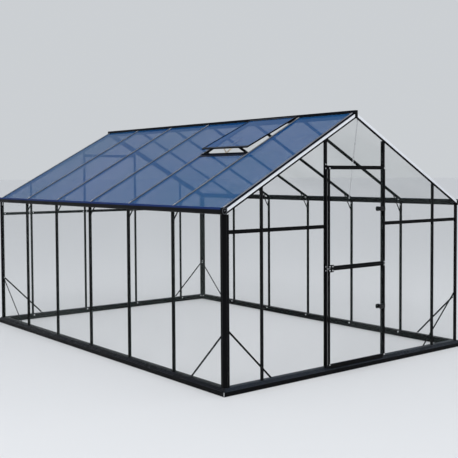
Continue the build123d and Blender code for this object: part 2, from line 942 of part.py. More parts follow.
with BuildPart() as opener_bracket:
    with BuildSketch(opener_plane(-opener_half)):
        with BuildLine():
            Polyline(
                cill_face(-cill_drop),
                cill_face(cill_drop),
                (opener_pivot_x, opener_pivot_z + opener_pin_radius),
                (opener_pivot_x - opener_pin_radius, opener_pivot_z),
                (opener_pivot_x, opener_pivot_z - opener_pin_radius),
                close=True,
            )
        make_face()
    extrude(amount=opener_width)
    with Locations((-opener_pivot_x, vent_mid_y, opener_pivot_z)):
        Box(2 * eye_radius + 2 * opener_plate, opener_width - 2 * opener_plate, cut_reach,
            mode=Mode.SUBTRACT)
    with BuildSketch(opener_plane(-opener_half)):
        with Locations((opener_pivot_x, opener_pivot_z)):
            Circle(opener_pin_radius)
    extrude(amount=opener_width)
save(opener_bracket.part, "opener_bracket")

sash_foot_x = vent_hinge_x + vent_length * cos(vent_pitch)
arm_top_x = sash_foot_x - vent_end_bar / 2

with BuildPart() as opener_arm:
    with BuildSketch(opener_plane(opener_half)):
        with BuildLine():
            Polyline(
                *strap_outline(
                    (opener_pivot_x, opener_pivot_z),
                    (arm_top_x, vent_under(arm_top_x) + opener_arm_width),
                    opener_arm_width,
                ),
                close=True,
            )
        make_face()
    extrude(amount=opener_plate)
    split(bisect_by=sash_under, keep=Keep.BOTTOM)
save(opener_arm.part, "opener_arm")

knuckle_x = sash_foot_x - knuckle_back
knuckle_z = vent_under(knuckle_x) - opener_plate - knuckle_drop

with BuildPart() as opener_strap:
    with BuildSketch(sash_under):
        with Locations((vent_length - opener_strap_length / 2, 0)):
            Rectangle(opener_strap_length, opener_width)
    extrude(amount=-opener_plate)
    with BuildSketch(opener_plane(-eye_width / 2)):
        with Locations((knuckle_x, knuckle_z)):
            Circle(knuckle_radius)
    extrude(amount=eye_width)
save(opener_strap.part, "opener_strap")

lower_pin = Vector(-opener_pivot_x, vent_mid_y, opener_pivot_z)
upper_pin = Vector(-knuckle_x, vent_mid_y, knuckle_z)
cylinder_axis = (upper_pin - lower_pin).normalized()
cylinder_span = (upper_pin - lower_pin).length

with BuildPart() as opener_cylinder:
    with BuildSketch(Plane(lower_pin + cylinder_axis * opener_pin_radius, z_dir=cylinder_axis)):
        Circle(rod_radius)
    extrude(amount=cylinder_span - opener_pin_radius - knuckle_radius)
    with BuildSketch(Plane(lower_pin + cylinder_axis * cylinder_end_gap, z_dir=cylinder_axis)):
        Circle(cylinder_radius)
    extrude(amount=cylinder_span - 2 * cylinder_end_gap)
    with BuildSketch(opener_plane(-eye_width / 2)):
        with Locations((opener_pivot_x, opener_pivot_z)):
            Circle(eye_radius)
    extrude(amount=eye_width)
    with BuildSketch(opener_plane(-opener_half)):
        with Locations((opener_pivot_x, opener_pivot_z)):
            Circle(opener_pin_radius + eye_clearance)
    extrude(amount=opener_width, mode=Mode.SUBTRACT)
save(opener_cylinder.part, "opener_cylinder")


# Split door: two leaves on pivots at the left post

def leaf_frame(name, low, high, low_rail, high_rail, handle_z, plate_z, drip):
    """Frame of one leaf with its groove for the glass and its lock case."""
    middle_x = (leaf_left + leaf_right) / 2
    width = leaf_right - leaf_left
    with BuildPart() as frame:
        with BuildSketch(Plane.XZ.offset(leaf_inner_y)):
            with Locations((middle_x, (low + high) / 2)):
                Rectangle(width, high - low)
            with Locations((middle_x, (low + low_rail + high - high_rail) / 2)):
                Rectangle(width - 2 * stile, high - low - low_rail - high_rail,
                          mode=Mode.SUBTRACT)
            with Locations(((lock_left + leaf_right) / 2, handle_z)):
                Rectangle(leaf_right - lock_left, lock_height)
        extrude(amount=leaf_thick)
        with BuildSketch(Plane.XZ.offset(leaf_outer_y)):
            with Locations(((lock_left + leaf_right) / 2, handle_z)):
                Rectangle(leaf_right - lock_left, lock_height)
            with Locations((leaf_left + plate_width / 2, plate_z)):
                Rectangle(plate_width, plate_height)
        extrude(amount=lock_proud)
        if drip:
            with BuildSketch(Plane.XZ.offset(leaf_outer_y - drip_thick)):
                with Locations((middle_x, (drip_low + low) / 2)):
                    Rectangle(width - 2 * drip_inset, low - drip_low)
            extrude(amount=drip_thick)
        for face_y, bevel in ((-leaf_inner_y, -pivot_bevel_in), (-leaf_outer_y, pivot_bevel_out)):
            with BuildSketch(Plane.XY.offset(low)):
                with BuildLine():
                    Polyline(
                        (leaf_left, face_y),
                        (leaf_left + abs(bevel), face_y),
                        (leaf_left, face_y + bevel),
                        close=True,
                    )
                make_face()
            extrude(amount=high - low, mode=Mode.SUBTRACT)
        with BuildSketch(groove_plane):
            draw_leaf_pane(low, high, low_rail, high_rail, handle_z)
        extrude(amount=glass, mode=Mode.SUBTRACT)
        with BuildSketch(Plane.XZ.offset(leaf_inner_y - leaf_gap)):
            with Locations((spindle_x, handle_z)):
                Circle(spindle_radius + pin_clearance)
        extrude(amount=leaf_thick + 2 * leaf_gap, mode=Mode.SUBTRACT)
        for end_z, direction in ((low, 1), (high, -1)):
            with BuildSketch(Plane.XY.offset(end_z)):
                with Locations((pivot_x, pivot_y)):
                    Circle(pin_radius + pin_clearance)
            extrude(amount=direction * (pin_length + pin_end_gap), mode=Mode.SUBTRACT)
    save(frame.part, name)


groove_plane = Plane.XZ.offset(leaf_inner_y + (leaf_thick - glass) / 2)


def draw_leaf_pane(low, high, low_rail, high_rail, handle_z):
    """Outline of a leaf's pane, notched round its lock case."""
    pane_low = low + low_rail - glass_bite
    pane_high = high - high_rail + glass_bite
    with Locations(((leaf_left + leaf_right) / 2, (pane_low + pane_high) / 2)):
        Rectangle(leaf_right - leaf_left - 2 * stile + 2 * glass_bite, pane_high - pane_low)
    with Locations(((lock_left + leaf_right) / 2, handle_z)):
        Rectangle(leaf_right - lock_left, lock_height, mode=Mode.SUBTRACT)


def leaf_glass(name, low, high, low_rail, high_rail, handle_z):
    with BuildPart() as pane:
        with BuildSketch(groove_plane):
            draw_leaf_pane(low, high, low_rail, high_rail, handle_z)
        extrude(amount=glass)
    save(pane.part, name)


lower_top = leaf_split - split_gap / 2
upper_low = leaf_split + split_gap / 2
lower_leaf = (leaf_bottom, lower_top, end_rail, split_rail, lower_handle_z)
upper_leaf = (upper_low, leaf_top, split_rail, end_rail, upper_handle_z)
leaf_frame("lower_door_frame", *lower_leaf, lower_top - plate_height / 2, True)
leaf_frame("upper_door_frame", *upper_leaf, upper_low + plate_height / 2, False)
leaf_glass("lower_door_glass", *lower_leaf)
leaf_glass("upper_door_glass", *upper_leaf)


def door_handle(name, handle_z):
    """Levers on both faces of a leaf, joined by a spindle through its lock case."""
    outer_face = leaf_outer_y + lock_proud + handle_gap
    inner_face = leaf_inner_y - handle_gap
    with BuildPart() as handle:
        with BuildSketch(Plane.XZ.offset(inner_face - hub_length)):
            with Locations((spindle_x, handle_z)):
                Circle(spindle_radius)
        extrude(amount=outer_face - inner_face + 2 * hub_length)
        for start in (outer_face, inner_face - hub_length):
            with BuildSketch(Plane.XZ.offset(start)):
                with Locations((spindle_x, handle_z)):
                    Circle(hub_radius)
            extrude(amount=hub_length)
        for start in (outer_face + hub_length - lever_thick / 2,
                      inner_face - hub_length - lever_thick / 2):
            with BuildSketch(Plane.XZ.offset(start)):
                with BuildLine():
                    Polyline(
                        (spindle_x, handle_z + lever_root / 2),
                        (spindle_x - lever_reach, handle_z + lever_tip / 2),
                        (spindle_x - lever_reach, handle_z - lever_tip / 2),
                        (spindle_x, handle_z - lever_root / 2),
                        close=True,
                    )
                make_face()
            extrude(amount=lever_thick)
    save(handle.part, name)


door_handle("lower_door_handle", lower_handle_z)
door_handle("upper_door_handle", upper_handle_z)


# Pivot brackets: on the base, between the leaves and over the upper leaf

bracket_right = leaf_left + bracket_reach
bracket_out = leaf_outer_y - bracket_set_back
leg_left = edge_gap - jamb_inner
leg_right = leaf_left - leaf_gap

with BuildPart() as door_pivots:
    foot_left = edge_gap - door_edge
    foot_inner = half_length - seat_depth
    with BuildSketch(Plane.XY.offset(base_height)):
        with Locations(((foot_left + bracket_right) / 2, -(foot_inner + bracket_out) / 2)):
            Rectangle(bracket_right - foot_left, bracket_out - foot_inner)
        with Locations(((bracket_right - jamb_inner) / 2, -(cover_y + bracket_out) / 2)):
            Rectangle(bracket_right + jamb_inner, bracket_out - cover_y)
    extrude(amount=leaf_bottom - bracket_gap - base_height)
    for z in (leaf_split, leaf_top + bracket_gap + bracket_thick / 2):
        with BuildSketch(Plane.XY.offset(z - bracket_thick / 2)):
            with Locations(((bracket_right - jamb_inner) / 2, -(cover_y + bracket_out) / 2)):
                Rectangle(bracket_right + jamb_inner, bracket_out - cover_y)
        extrude(amount=bracket_thick)
        with BuildSketch(Plane.XZ.offset(cover_y)):
            with Locations(((leg_left + leg_right) / 2, z)):
                Rectangle(leg_right - leg_left, bracket_leg)
        extrude(amount=bracket_leg_thick)
    for z, low, high in (
        (leaf_bottom, -bracket_gap, pin_length),
        (leaf_split, -pin_length, pin_length),
        (leaf_top, -pin_length, bracket_gap),
    ):
        with BuildSketch(Plane.XY.offset(z + low)):
            with Locations((pivot_x, pivot_y)):
                Circle(pin_radius)
        extrude(amount=high - low)
save(door_pivots.part, "door_pivots")
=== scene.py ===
"""Looks of the glass greenhouse: materials, small parts, studio and camera.

The small parts are bolts, profile beads, gaskets, seals, brackets and the door handles.
Everything is in metres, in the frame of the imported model: X across the gable, Y along the
building with the door gable at -Y, Z up.
"""

import json
import math
from functools import partial

import bmesh
import bpy
import numpy as np
from mathutils import Matrix, Vector


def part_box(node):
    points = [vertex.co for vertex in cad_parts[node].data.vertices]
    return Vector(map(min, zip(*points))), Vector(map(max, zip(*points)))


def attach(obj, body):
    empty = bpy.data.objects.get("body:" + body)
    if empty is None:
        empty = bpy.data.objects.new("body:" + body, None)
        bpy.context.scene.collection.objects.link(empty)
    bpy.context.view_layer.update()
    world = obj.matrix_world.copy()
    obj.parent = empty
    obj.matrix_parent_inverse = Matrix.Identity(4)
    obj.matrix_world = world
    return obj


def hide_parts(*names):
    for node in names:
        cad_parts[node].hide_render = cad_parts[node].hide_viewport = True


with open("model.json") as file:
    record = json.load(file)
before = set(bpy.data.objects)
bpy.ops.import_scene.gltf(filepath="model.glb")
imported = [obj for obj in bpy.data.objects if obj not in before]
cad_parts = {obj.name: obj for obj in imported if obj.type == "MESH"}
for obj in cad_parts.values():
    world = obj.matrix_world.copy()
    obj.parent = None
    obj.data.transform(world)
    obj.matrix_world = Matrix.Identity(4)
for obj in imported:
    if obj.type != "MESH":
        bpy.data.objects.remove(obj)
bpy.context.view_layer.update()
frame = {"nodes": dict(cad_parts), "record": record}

HOUSE = "house"

# Sizes shared with the model, in metres
PITCH = math.radians(29.1)
HALF_WIDTH = 1.495  # to the corner posts' outer faces
HALF_LENGTH = 2.230  # the same along the building
EAVE_SEAT_Z = 1.480  # seat of the roof's glass over the posts' outer face
BASE_TOP = 0.062
BASE_INNER = 0.055  # from the posts' outer face in to the base's inner face
BASE_STEP = 0.022  # from the posts' outer face out to the base's lip
BASE_LIP_Z = 0.036  # where the base's slope starts, over the lip
BASE_SHOULDER = 0.002  # how far the slope ends inside the posts' outer face
GUTTER_LOW = 1.446
BAY = 0.740
BAR_YS = [BAY * i for i in (-2, -1, 0, 1, 2)]
GABLE_BAR_X = 1.098
DOOR_POST_X = 0.373  # the door's posts, and the middle bars of the back gable
GLASS_SEAT = 0.014  # from the posts' outer face in to the glass's seat
GLASS = 0.004
BAR_DEPTH = 0.018  # of the bars behind the glass's seat
CAP_HALF = 0.011  # half width of the bar caps
CAP_TOP = 0.009  # face of the bar caps over the glass's seat
VERGE_Y = HALF_LENGTH - 0.037
INNER_X = HALF_WIDTH - GLASS_SEAT - BAR_DEPTH  # inner faces of the bars
INNER_Y = HALF_LENGTH - GLASS_SEAT - BAR_DEPTH
APEX_SEAT_Z = EAVE_SEAT_Z + HALF_WIDTH * math.tan(PITCH)
CAP_YS = [-VERGE_Y] + BAR_YS + [VERGE_Y]
FRONT_BAR_XS = (-GABLE_BAR_X, GABLE_BAR_X)
BACK_BAR_XS = (-GABLE_BAR_X, -DOOR_POST_X, DOOR_POST_X, GABLE_BAR_X)
GABLES = ((-1, FRONT_BAR_XS), (1, BACK_BAR_XS))

# Colours, linear
POWDER_BLACK = (0.0022, 0.0024, 0.0029)
# Painted reflection of the sky on what faces up, on the frame's powder coat
POWDER_SKY_REFLECTION = (0.008, 0.012, 0.026)
# Painted reflection of the pale sky that turns the roof's caps grey
CAP_SKY_REFLECTION = (0.34, 0.35, 0.39)
# Painted reflections of the sky on the base's upper faces, as painted light and shade: lighter on
# the end rails, darker on the side rails
BASE_END_SKY_REFLECTION = (0.030, 0.040, 0.056)
BASE_SIDE_SKY_REFLECTION = (0.004, 0.006, 0.010)
# Painted reflection of the blue sky along the top edges of the gutters and the ridge
RIM_SKY_REFLECTION = (0.010, 0.028, 0.120)
DULL_EDGE = (0.16, 0.17, 0.19)
# Painted reflection of the blue sky and of grey clouds on the roof glass's upper side
ROOF_SKY_REFLECTION = (0.006, 0.066, 0.215)
ROOF_CLOUD_REFLECTION = (0.020, 0.090, 0.212)
CLEAR_GREEN = (0.12, 0.17, 0.155)
CLEAR_SMEAR = (0.22, 0.26, 0.25)
EDGE_GREEN = (0.10, 0.25, 0.21)
# Blue tint of the roof glass's reflections, a painted sky reflection
SKY_REFLECTION_TINT = (0.45, 0.65, 1.0)
TRIM_PALE = (0.86, 0.88, 0.92)
OPENER_CREAM = (0.66, 0.57, 0.45)
ZINC = (0.74, 0.75, 0.76)
BRIGHT_ZINC = (0.90, 0.91, 0.93)
RUBBER = (0.006, 0.006, 0.0065)
FLOOR_PALE = (0.76, 0.765, 0.77)
WORLD_LIGHT = (0.92, 0.95, 1.0)
WORLD_SEEN = (0.60, 0.625, 0.65)

# Heights between which a painted reflection of the sky's blue sets in on the gutters' and the
# ridge's rims
GUTTER_RIM_Z = (1.483, 1.490)
RIDGE_RIM_Z = (2.316, 2.324)

# Alpha of the glass face on and at a glancing angle
WALL_ALPHA = (0.008, 0.13)
UNDERSIDE_ALPHA = (0.010, 0.14)
# The roof's and the vent's upper sides are dense, to carry the painted sky reflection
ROOF_ALPHA = (0.42, 0.83)
VENT_ALPHA = (0.44, 0.87)
EDGE_ALPHA = 0.85
SHADOW_ALPHA = 0.03

# Grain of the materials: scale of the noise, its stretch along X, Y and Z, depth of relief
PATCH_SCALE = 7.0
PEEL_SCALE = 900.0
METAL_SCALE = 60.0
RUBBER_SCALE = 400.0
SMEAR_SCALE = 0.8
EVEN = (1.0, 1.0, 1.0)
DRAWN = (1.0, 0.2, 1.0)
RUN_DOWN = (1.0, 1.0, 0.6)
RELIEF = 0.0005

# How far smears raise and lower the glass's alpha
WALL_SMEAR = 0.008
ROOF_SMEAR = 0.04

# Camera and studio
CAMERA_PLACE = (-5.4260, -7.4333, 1.7516)
CAMERA_YAW = math.radians(39.848)
CAMERA_PITCH = math.radians(-2.449)
CAMERA_ROLL = math.radians(-0.211)
FOCAL_PIXELS = 828.73
IMAGE_PIXELS = 458
PRINCIPAL_POINT = (263.97, 211.03)
SENSOR_WIDTH = 36.0
FLOOR_REACH = 400.0
CLIP_END = 1000.0
WORLD_STRENGTH = 0.80
LAMP_SIZE = 6.0
KEY_PLACE = (-9, -7, 10)
KEY_POWER = 620.0
FILL_PLACE = (8, -8, 6)
FILL_POWER = 120.0
LAMP_TARGET = (0, 0, 1)


# Node helpers

def new_material(name):
    """A material with a Principled shader; returns the material, its nodes, links and shader."""
    material = bpy.data.materials.new(name)
    material.use_nodes = True
    nodes = material.node_tree.nodes
    shader = nodes["Principled BSDF"]
    return material, nodes, material.node_tree.links, shader


def object_noise(nodes, links, scale, detail=4.0, stretch=EVEN):
    """Noise in the house's frame, so that all pieces share one grain."""
    place = nodes.new("ShaderNodeTexCoord")
    mapping = nodes.new("ShaderNodeMapping")
    mapping.inputs["Scale"].default_value = stretch
    noise = nodes.new("ShaderNodeTexNoise")
    noise.inputs["Scale"].default_value = scale
    noise.inputs["Detail"].default_value = detail
    links.new(place.outputs["Object"], mapping.inputs["Vector"])
    links.new(mapping.outputs["Vector"], noise.inputs["Vector"])
    return noise.outputs["Fac"]


def remap(nodes, links, value, low, high, to_low, to_high):
    """Spreads value from low..high to to_low..to_high, clamped."""
    node = nodes.new("ShaderNodeMapRange")
    node.inputs["From Min"].default_value = low
    node.inputs["From Max"].default_value = high
    node.inputs["To Min"].default_value = to_low
    node.inputs["To Max"].default_value = to_high
    links.new(value, node.inputs["Value"])
    return node.outputs["Result"]


def mix_colour(nodes, links, share, first, second):
    """Colour between first and second by share; each is a colour or a socket."""
    node = nodes.new("ShaderNodeMix")
    node.data_type = "RGBA"
    links.new(share, node.inputs["Factor"])
    for value, socket in ((first, node.inputs["A"]), (second, node.inputs["B"])):
        if isinstance(value, tuple):
            socket.default_value = (*value, 1.0)
        else:
            links.new(value, socket)
    return node.outputs["Result"]


def bump(nodes, links, shader, height, strength):
    """Gives a shader the relief of a height socket."""
    node = nodes.new("ShaderNodeBump")
    node.inputs["Strength"].default_value = strength
    node.inputs["Distance"].default_value = RELIEF
    links.new(height, node.inputs["Height"])
    links.new(node.outputs["Normal"], shader.inputs["Normal"])


def upward(nodes, links):
    """How far the surface faces up, from 0 to 1."""
    geometry = nodes.new("ShaderNodeNewGeometry")
    split = nodes.new("ShaderNodeSeparateXYZ")
    links.new(geometry.outputs["Normal"], split.inputs["Vector"])
    return remap(nodes, links, split.outputs["Z"], 0.2, 0.9, 0.0, 1.0)


def math_node(nodes, links, operation, first, second):
    """A Math node; first and second are numbers or sockets."""
    node = nodes.new("ShaderNodeMath")
    node.operation = operation
    for value, socket in ((first, node.inputs[0]), (second, node.inputs[1])):
        if isinstance(value, float):
            socket.default_value = value
        else:
            links.new(value, socket)
    return node.outputs["Value"]


def painted_reflection_rim(nodes, links, rim):
    """Where a painted reflection of the sky lies: 1 above the heights of rim, on faces that look
    up or away from the middle of the house.
    """
    place = nodes.new("ShaderNodeTexCoord")
    at = nodes.new("ShaderNodeSeparateXYZ")
    links.new(place.outputs["Object"], at.inputs["Vector"])
    geometry = nodes.new("ShaderNodeNewGeometry")
    faced = nodes.new("ShaderNodeSeparateXYZ")
    links.new(geometry.outputs["Normal"], faced.inputs["Vector"])
    away = math_node(nodes, links, "MULTIPLY", at.outputs["X"], faced.outputs["X"])
    outer = math_node(nodes, links, "MAXIMUM", away, upward(nodes, links))
    high = remap(nodes, links, at.outputs["Z"], *rim, 0.0, 1.0)
    open_side = remap(nodes, links, outer, 0.0, 0.4, 0.0, 1.0)
    return math_node(nodes, links, "MULTIPLY", high, open_side)


# Materials

def powder_coat(name, sky=POWDER_SKY_REFLECTION, rough_low=0.36, rough_high=0.5, level=0.06, rim=None):
    """Satin black powder coat with fine orange peel; what faces up carries a painted reflection of
    the sky, in patches.

    level is the specular level. rim gives the heights between which a part's top edge
    takes a painted reflection of the sky's blue, on its outer and upper faces.
    """
    material, nodes, links, shader = new_material(name)
    patches = object_noise(nodes, links, PATCH_SCALE)
    # Share of painted sky reflection: what faces up, stronger in patches
    painted_sky_sheen = math_node(nodes, links, "MULTIPLY", upward(nodes, links),
                      remap(nodes, links, patches, 0.35, 0.7, 0.55, 1.0))
    coat = mix_colour(nodes, links, painted_sky_sheen, POWDER_BLACK, sky)
    if rim is not None:
        # Painted sky reflection along the part's top edge
        coat = mix_colour(nodes, links, painted_reflection_rim(nodes, links, rim), coat, RIM_SKY_REFLECTION)
    links.new(coat, shader.inputs["Base Color"])
    links.new(remap(nodes, links, patches, 0.3, 0.7, rough_low, rough_high),
              shader.inputs["Roughness"])
    shader.inputs["Specular IOR Level"].default_value = level
    bump(nodes, links, shader, object_noise(nodes, links, PEEL_SCALE, 2.0), 0.06)
    return material


def satin_metal(name, colour, roughness, metallic, stretch=EVEN):
    """Bare, plated or painted metal with a fine drawn grain."""
    material, nodes, links, shader = new_material(name)
    shader.inputs["Metallic"].default_value = metallic
    grain = object_noise(nodes, links, METAL_SCALE, 3.0, stretch)
    darker = tuple(0.86 * c for c in colour)
    links.new(mix_colour(nodes, links, grain, darker, colour), shader.inputs["Base Color"])
    links.new(remap(nodes, links, grain, 0.3, 0.7, roughness - 0.06, roughness + 0.08),
              shader.inputs["Roughness"])
    bump(nodes, links, shader, grain, 0.05)
    return material


def rubber(name):
    """Matt black rubber with a fine grain."""
    material, nodes, links, shader = new_material(name)
    grain = object_noise(nodes, links, RUBBER_SCALE, 2.0)
    paler = tuple(2.2 * c for c in RUBBER)
    links.new(mix_colour(nodes, links, grain, RUBBER, paler), shader.inputs["Base Color"])
    shader.inputs["Roughness"].default_value = 0.7
    shader.inputs["Specular IOR Level"].default_value = 0.3
    bump(nodes, links, shader, grain, 0.1)
    return material


def largest_dot(nodes, links, directions):
    """How squarely the surface faces one of the directions, either way round."""
    geometry = nodes.new("ShaderNodeNewGeometry")
    faced = None
    for direction in directions:
        dot = nodes.new("ShaderNodeVectorMath")
        dot.operation = "DOT_PRODUCT"
        dot.inputs[1].default_value = direction
        links.new(geometry.outputs["True Normal"], dot.inputs[0])
        size = nodes.new("ShaderNodeMath")
        size.operation = "ABSOLUTE"
        links.new(dot.outputs["Value"], size.inputs[0])
        if faced is None:
            faced = size.outputs["Value"]
        else:
            faced = math_node(nodes, links, "MAXIMUM", faced, size.outputs["Value"])
    return faced


def glancing(nodes, links, limits):
    """A value between two limits: the first face on, the second at a glancing angle."""
    fresnel = nodes.new("ShaderNodeLayerWeight")
    fresnel.inputs["Blend"].default_value = 0.3
    return remap(nodes, links, fresnel.outputs["Facing"], 0.0, 1.0, *limits)


def smears(nodes, links):
    """Soft patches over the panes: the plain noise, and the same spread over 0 to 1, which on the
    roof also patches the painted sky reflection with grey clouds.
    """
    cloud = object_noise(nodes, links, SMEAR_SCALE, 5.0, RUN_DOWN)
    return cloud, remap(nodes, links, cloud, 0.35, 0.7, 0.0, 1.0)


def mix_value(nodes, links, share, first, second):
    """Number between first and second by share; each is a number or a socket."""
    node = nodes.new("ShaderNodeMix")
    node.data_type = "FLOAT"
    links.new(share, node.inputs["Factor"])
    for value, socket in ((first, node.inputs["A"]), (second, node.inputs["B"])):
        if isinstance(value, float):
            socket.default_value = value
        else:
            links.new(value, socket)
    return node.outputs["Result"]


def finish_glass(nodes, links, shader, directions, body, alpha, cloud, smear):
    """Adds smears, greener and denser cut edges, and free passage for lamps."""
    at_edge = remap(nodes, links, largest_dot(nodes, links, directions), 0.6, 0.9, 1.0, 0.0)
    smudge = remap(nodes, links, cloud, 0.38, 0.68, -smear, smear)
    varied = math_node(nodes, links, "ADD", alpha, smudge)
    solid = mix_value(nodes, links, at_edge, varied, EDGE_ALPHA)
    path = nodes.new("ShaderNodeLightPath")
    links.new(mix_value(nodes, links, path.outputs["Is Shadow Ray"], solid, SHADOW_ALPHA),
              shader.inputs["Alpha"])
    links.new(mix_colour(nodes, links, at_edge, body, EDGE_GREEN), shader.inputs["Base Color"])
    shader.inputs["Roughness"].default_value = 0.04
    shader.inputs["IOR"].default_value = 1.5


def wall_glass(name):
    """Clear pane: all but unseen face on, with a faint green cast and dried rain smears."""
    material, nodes, links, shader = new_material(name)
    cloud, tone = smears(nodes, links)
    body = mix_colour(nodes, links, tone, CLEAR_GREEN, CLEAR_SMEAR)
    alpha = glancing(nodes, links, WALL_ALPHA)
    finish_glass(nodes, links, shader, UPRIGHT_FACES, body, alpha, cloud, WALL_SMEAR)
    return material


def glass_with_painted_sky(name, upper_alpha):
    """Roof pane: its upper side carries a painted reflection of a blue sky, patched with grey
    clouds; its underside is almost clear.
    """
    material, nodes, links, shader = new_material(name)
    cloud, tone = smears(nodes, links)
    geometry = nodes.new("ShaderNodeNewGeometry")
    split = nodes.new("ShaderNodeSeparateXYZ")
    links.new(geometry.outputs["True Normal"], split.inputs["Vector"])
    above = remap(nodes, links, split.outputs["Z"], -0.05, 0.05, 0.0, 1.0)
    # Painted sky reflection, patched between blue and grey clouds by the spread noise
    sky = mix_colour(nodes, links, tone, ROOF_SKY_REFLECTION, ROOF_CLOUD_REFLECTION)
    body = mix_colour(nodes, links, above, CLEAR_GREEN, sky)
    alpha = mix_value(nodes, links, above, glancing(nodes, links, UNDERSIDE_ALPHA),
                      glancing(nodes, links, upper_alpha))
    finish_glass(nodes, links, shader, SLOPE_FACES, body, alpha, cloud, ROOF_SMEAR)
    shader.inputs["Specular IOR Level"].default_value = 0.02
    # Blue tint on the glass's reflections: a painted sky reflection
    shader.inputs["Specular Tint"].default_value = (*SKY_REFLECTION_TINT, 1.0)
    return material


UPRIGHT_FACES = ((1, 0, 0), (0, 1, 0))
SLOPE_FACES = ((math.sin(PITCH), 0, math.cos(PITCH)), (-math.sin(PITCH), 0, math.cos(PITCH)))

black = powder_coat("frame_black")
dull_edge = satin_metal("dull_edge", DULL_EDGE, roughness=0.5, metallic=0.3)
bead_black = powder_coat("bead_black", rough_low=0.24, rough_high=0.34, level=0.30)
handle_black = powder_coat("handle_black", rough_low=0.2, rough_high=0.28, level=0.25)
# The roof's caps: black coat with a grey painted reflection of the sky on what faces up
cap_painted_sheen = powder_coat("roof_caps_painted_sheen", CAP_SKY_REFLECTION)
# Lit and shaded copies of the base's coat: a lighter painted sky reflection on the end rails than
# on the side rails
base_end_painted_sheen = powder_coat("base_ends_painted_sheen", BASE_END_SKY_REFLECTION)
base_side_painted_sheen = powder_coat("base_sides_painted_sheen", BASE_SIDE_SKY_REFLECTION)
# Gutters and ridge: a painted reflection of the blue sky on their top edges
gutter_black = powder_coat("gutters", rim=GUTTER_RIM_Z)
ridge_black = powder_coat("ridge", rim=RIDGE_RIM_Z)
clear_glass = wall_glass("glass_clear")
roof_glass = glass_with_painted_sky("glass_roof", ROOF_ALPHA)
vent_glass = glass_with_painted_sky("glass_vent", VENT_ALPHA)
trim_pale = satin_metal("trim_pale", TRIM_PALE, roughness=0.42, metallic=0.35, stretch=DRAWN)
cream = satin_metal("opener_cream", OPENER_CREAM, roughness=0.45, metallic=0.1)
zinc = satin_metal("zinc", ZINC, roughness=0.28, metallic=0.8)
bright_zinc = satin_metal("bright_zinc", BRIGHT_ZINC, roughness=0.35, metallic=0.25)
gasket = rubber("gasket")

SLOT_MATERIALS = {
    "frame_black": black,
    "glass_clear": clear_glass,
    "glass_roof": roof_glass,
    "trim_pale": trim_pale,
    "opener_cream": cream,
    "handle_black": handle_black,
    "pivot_steel": black,
}


# Nodes that don't wear the plain material of their slot
OWN_MATERIALS = {
    "left_rafter_caps": cap_painted_sheen,
    "right_rafter_caps": cap_painted_sheen,
    "left_gutter": gutter_black,
    "right_gutter": gutter_black,
    "ridge_bar": ridge_black,
    "base_front": base_end_painted_sheen,
    "base_back": base_end_painted_sheen,
    "base_left": base_side_painted_sheen,
    "base_right": base_side_painted_sheen,
    "vent_glass": vent_glass,
    "roof_braces": zinc,
}


def dress_nodes():
    """Gives every CAD node its own material, or that of its slot."""
    slots = {s["node"]: s["material_slot"] for s in frame["record"]["subparts"]}
    for name, node in frame["nodes"].items():
        node.data.materials.clear()
        node.data.materials.append(OWN_MATERIALS.get(name, SLOT_MATERIALS[slots[name]]))


dress_nodes()


# Mesh helpers

def new_piece(name, mesh_maker, material, body=HOUSE, smooth_angle=None):
    """A piece whose mesh mesh_maker draws into a bmesh; it rides on a body."""
    bm = bmesh.new()
    mesh_maker(bm)
    bmesh.ops.recalc_face_normals(bm, faces=bm.faces)
    mesh = bpy.data.meshes.new(name)
    bm.to_mesh(mesh)
    bm.free()
    mesh.materials.append(material)
    if smooth_angle is not None:
        mesh.shade_smooth()
        mesh.set_sharp_from_angle(angle=math.radians(smooth_angle))
    piece = bpy.data.objects.new(name, mesh)
    bpy.context.scene.collection.objects.link(piece)
    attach(piece, body)
    return piece


def new_fastenings(name, mesh_maker, material=zinc, body=HOUSE):
    """Bolts, screws or pins as one piece, with soft edges between shallow facets."""
    return new_piece(name, mesh_maker, material, body, smooth_angle=30)


def loft(bm, rings):
    """Closed skin through rings of equally many points, with both ends filled."""
    loops = [[bm.verts.new(point) for point in ring] for ring in rings]
    count = len(loops[0])
    for first, second in zip(loops, loops[1:]):
        for i in range(count):
            j = (i + 1) % count
            bm.faces.new((first[i], first[j], second[j], second[i]))
    bm.faces.new(loops[0][::-1])
    bm.faces.new(loops[-1])


def axes_across(axis):
    """An axis as a unit vector, and two directions square to it."""
    axis = Vector(axis).normalized()
    side = axis.cross(Vector((0, 0, 1)))
    if side.length < 0.1:
        side = axis.cross(Vector((0, 1, 0)))
    side.normalize()
    return axis, side, axis.cross(side)


def lathe(bm, place, axis, profile, segments=20, turn=0.0):
    """Turned form: profile is (radius, height) pairs along the axis from a place."""
    axis, side, other = axes_across(axis)
    rings = []
    for radius, height in profile:
        ring = []
        for i in range(segments):
            angle = turn + math.tau * i / segments
            out = side * math.cos(angle) + other * math.sin(angle)
            ring.append(Vector(place) + axis * height + out * radius)
        rings.append(ring)
    loft(bm, rings)


# (radius, height) profiles of a bolt's parts, and how many sides each has
WASHER = [(0.0072, -0.0004), (0.0078, 0.0), (0.0078, 0.0010), (0.0073, 0.0014)]
NUT = [(0.0056, 0.0012), (0.0063, 0.0018), (0.0063, 0.0052), (0.0054, 0.0060)]
THREAD = [(0.0029, 0.0056), (0.0029, 0.0080), (0.0023, 0.0088)]
BOLT_PARTS = ((WASHER, 20), (NUT, 6), (THREAD, 12))
NUT_TURN = 0.3


def add_bolt(bm, place, axis, size=1.0):
    """Hexagon nut on a washer with the bolt's end showing, standing on a surface."""
    for profile, segments in BOLT_PARTS:
        scaled = [(radius * size, height * size) for radius, height in profile]
        lathe(bm, place, axis, scaled, segments, NUT_TURN)


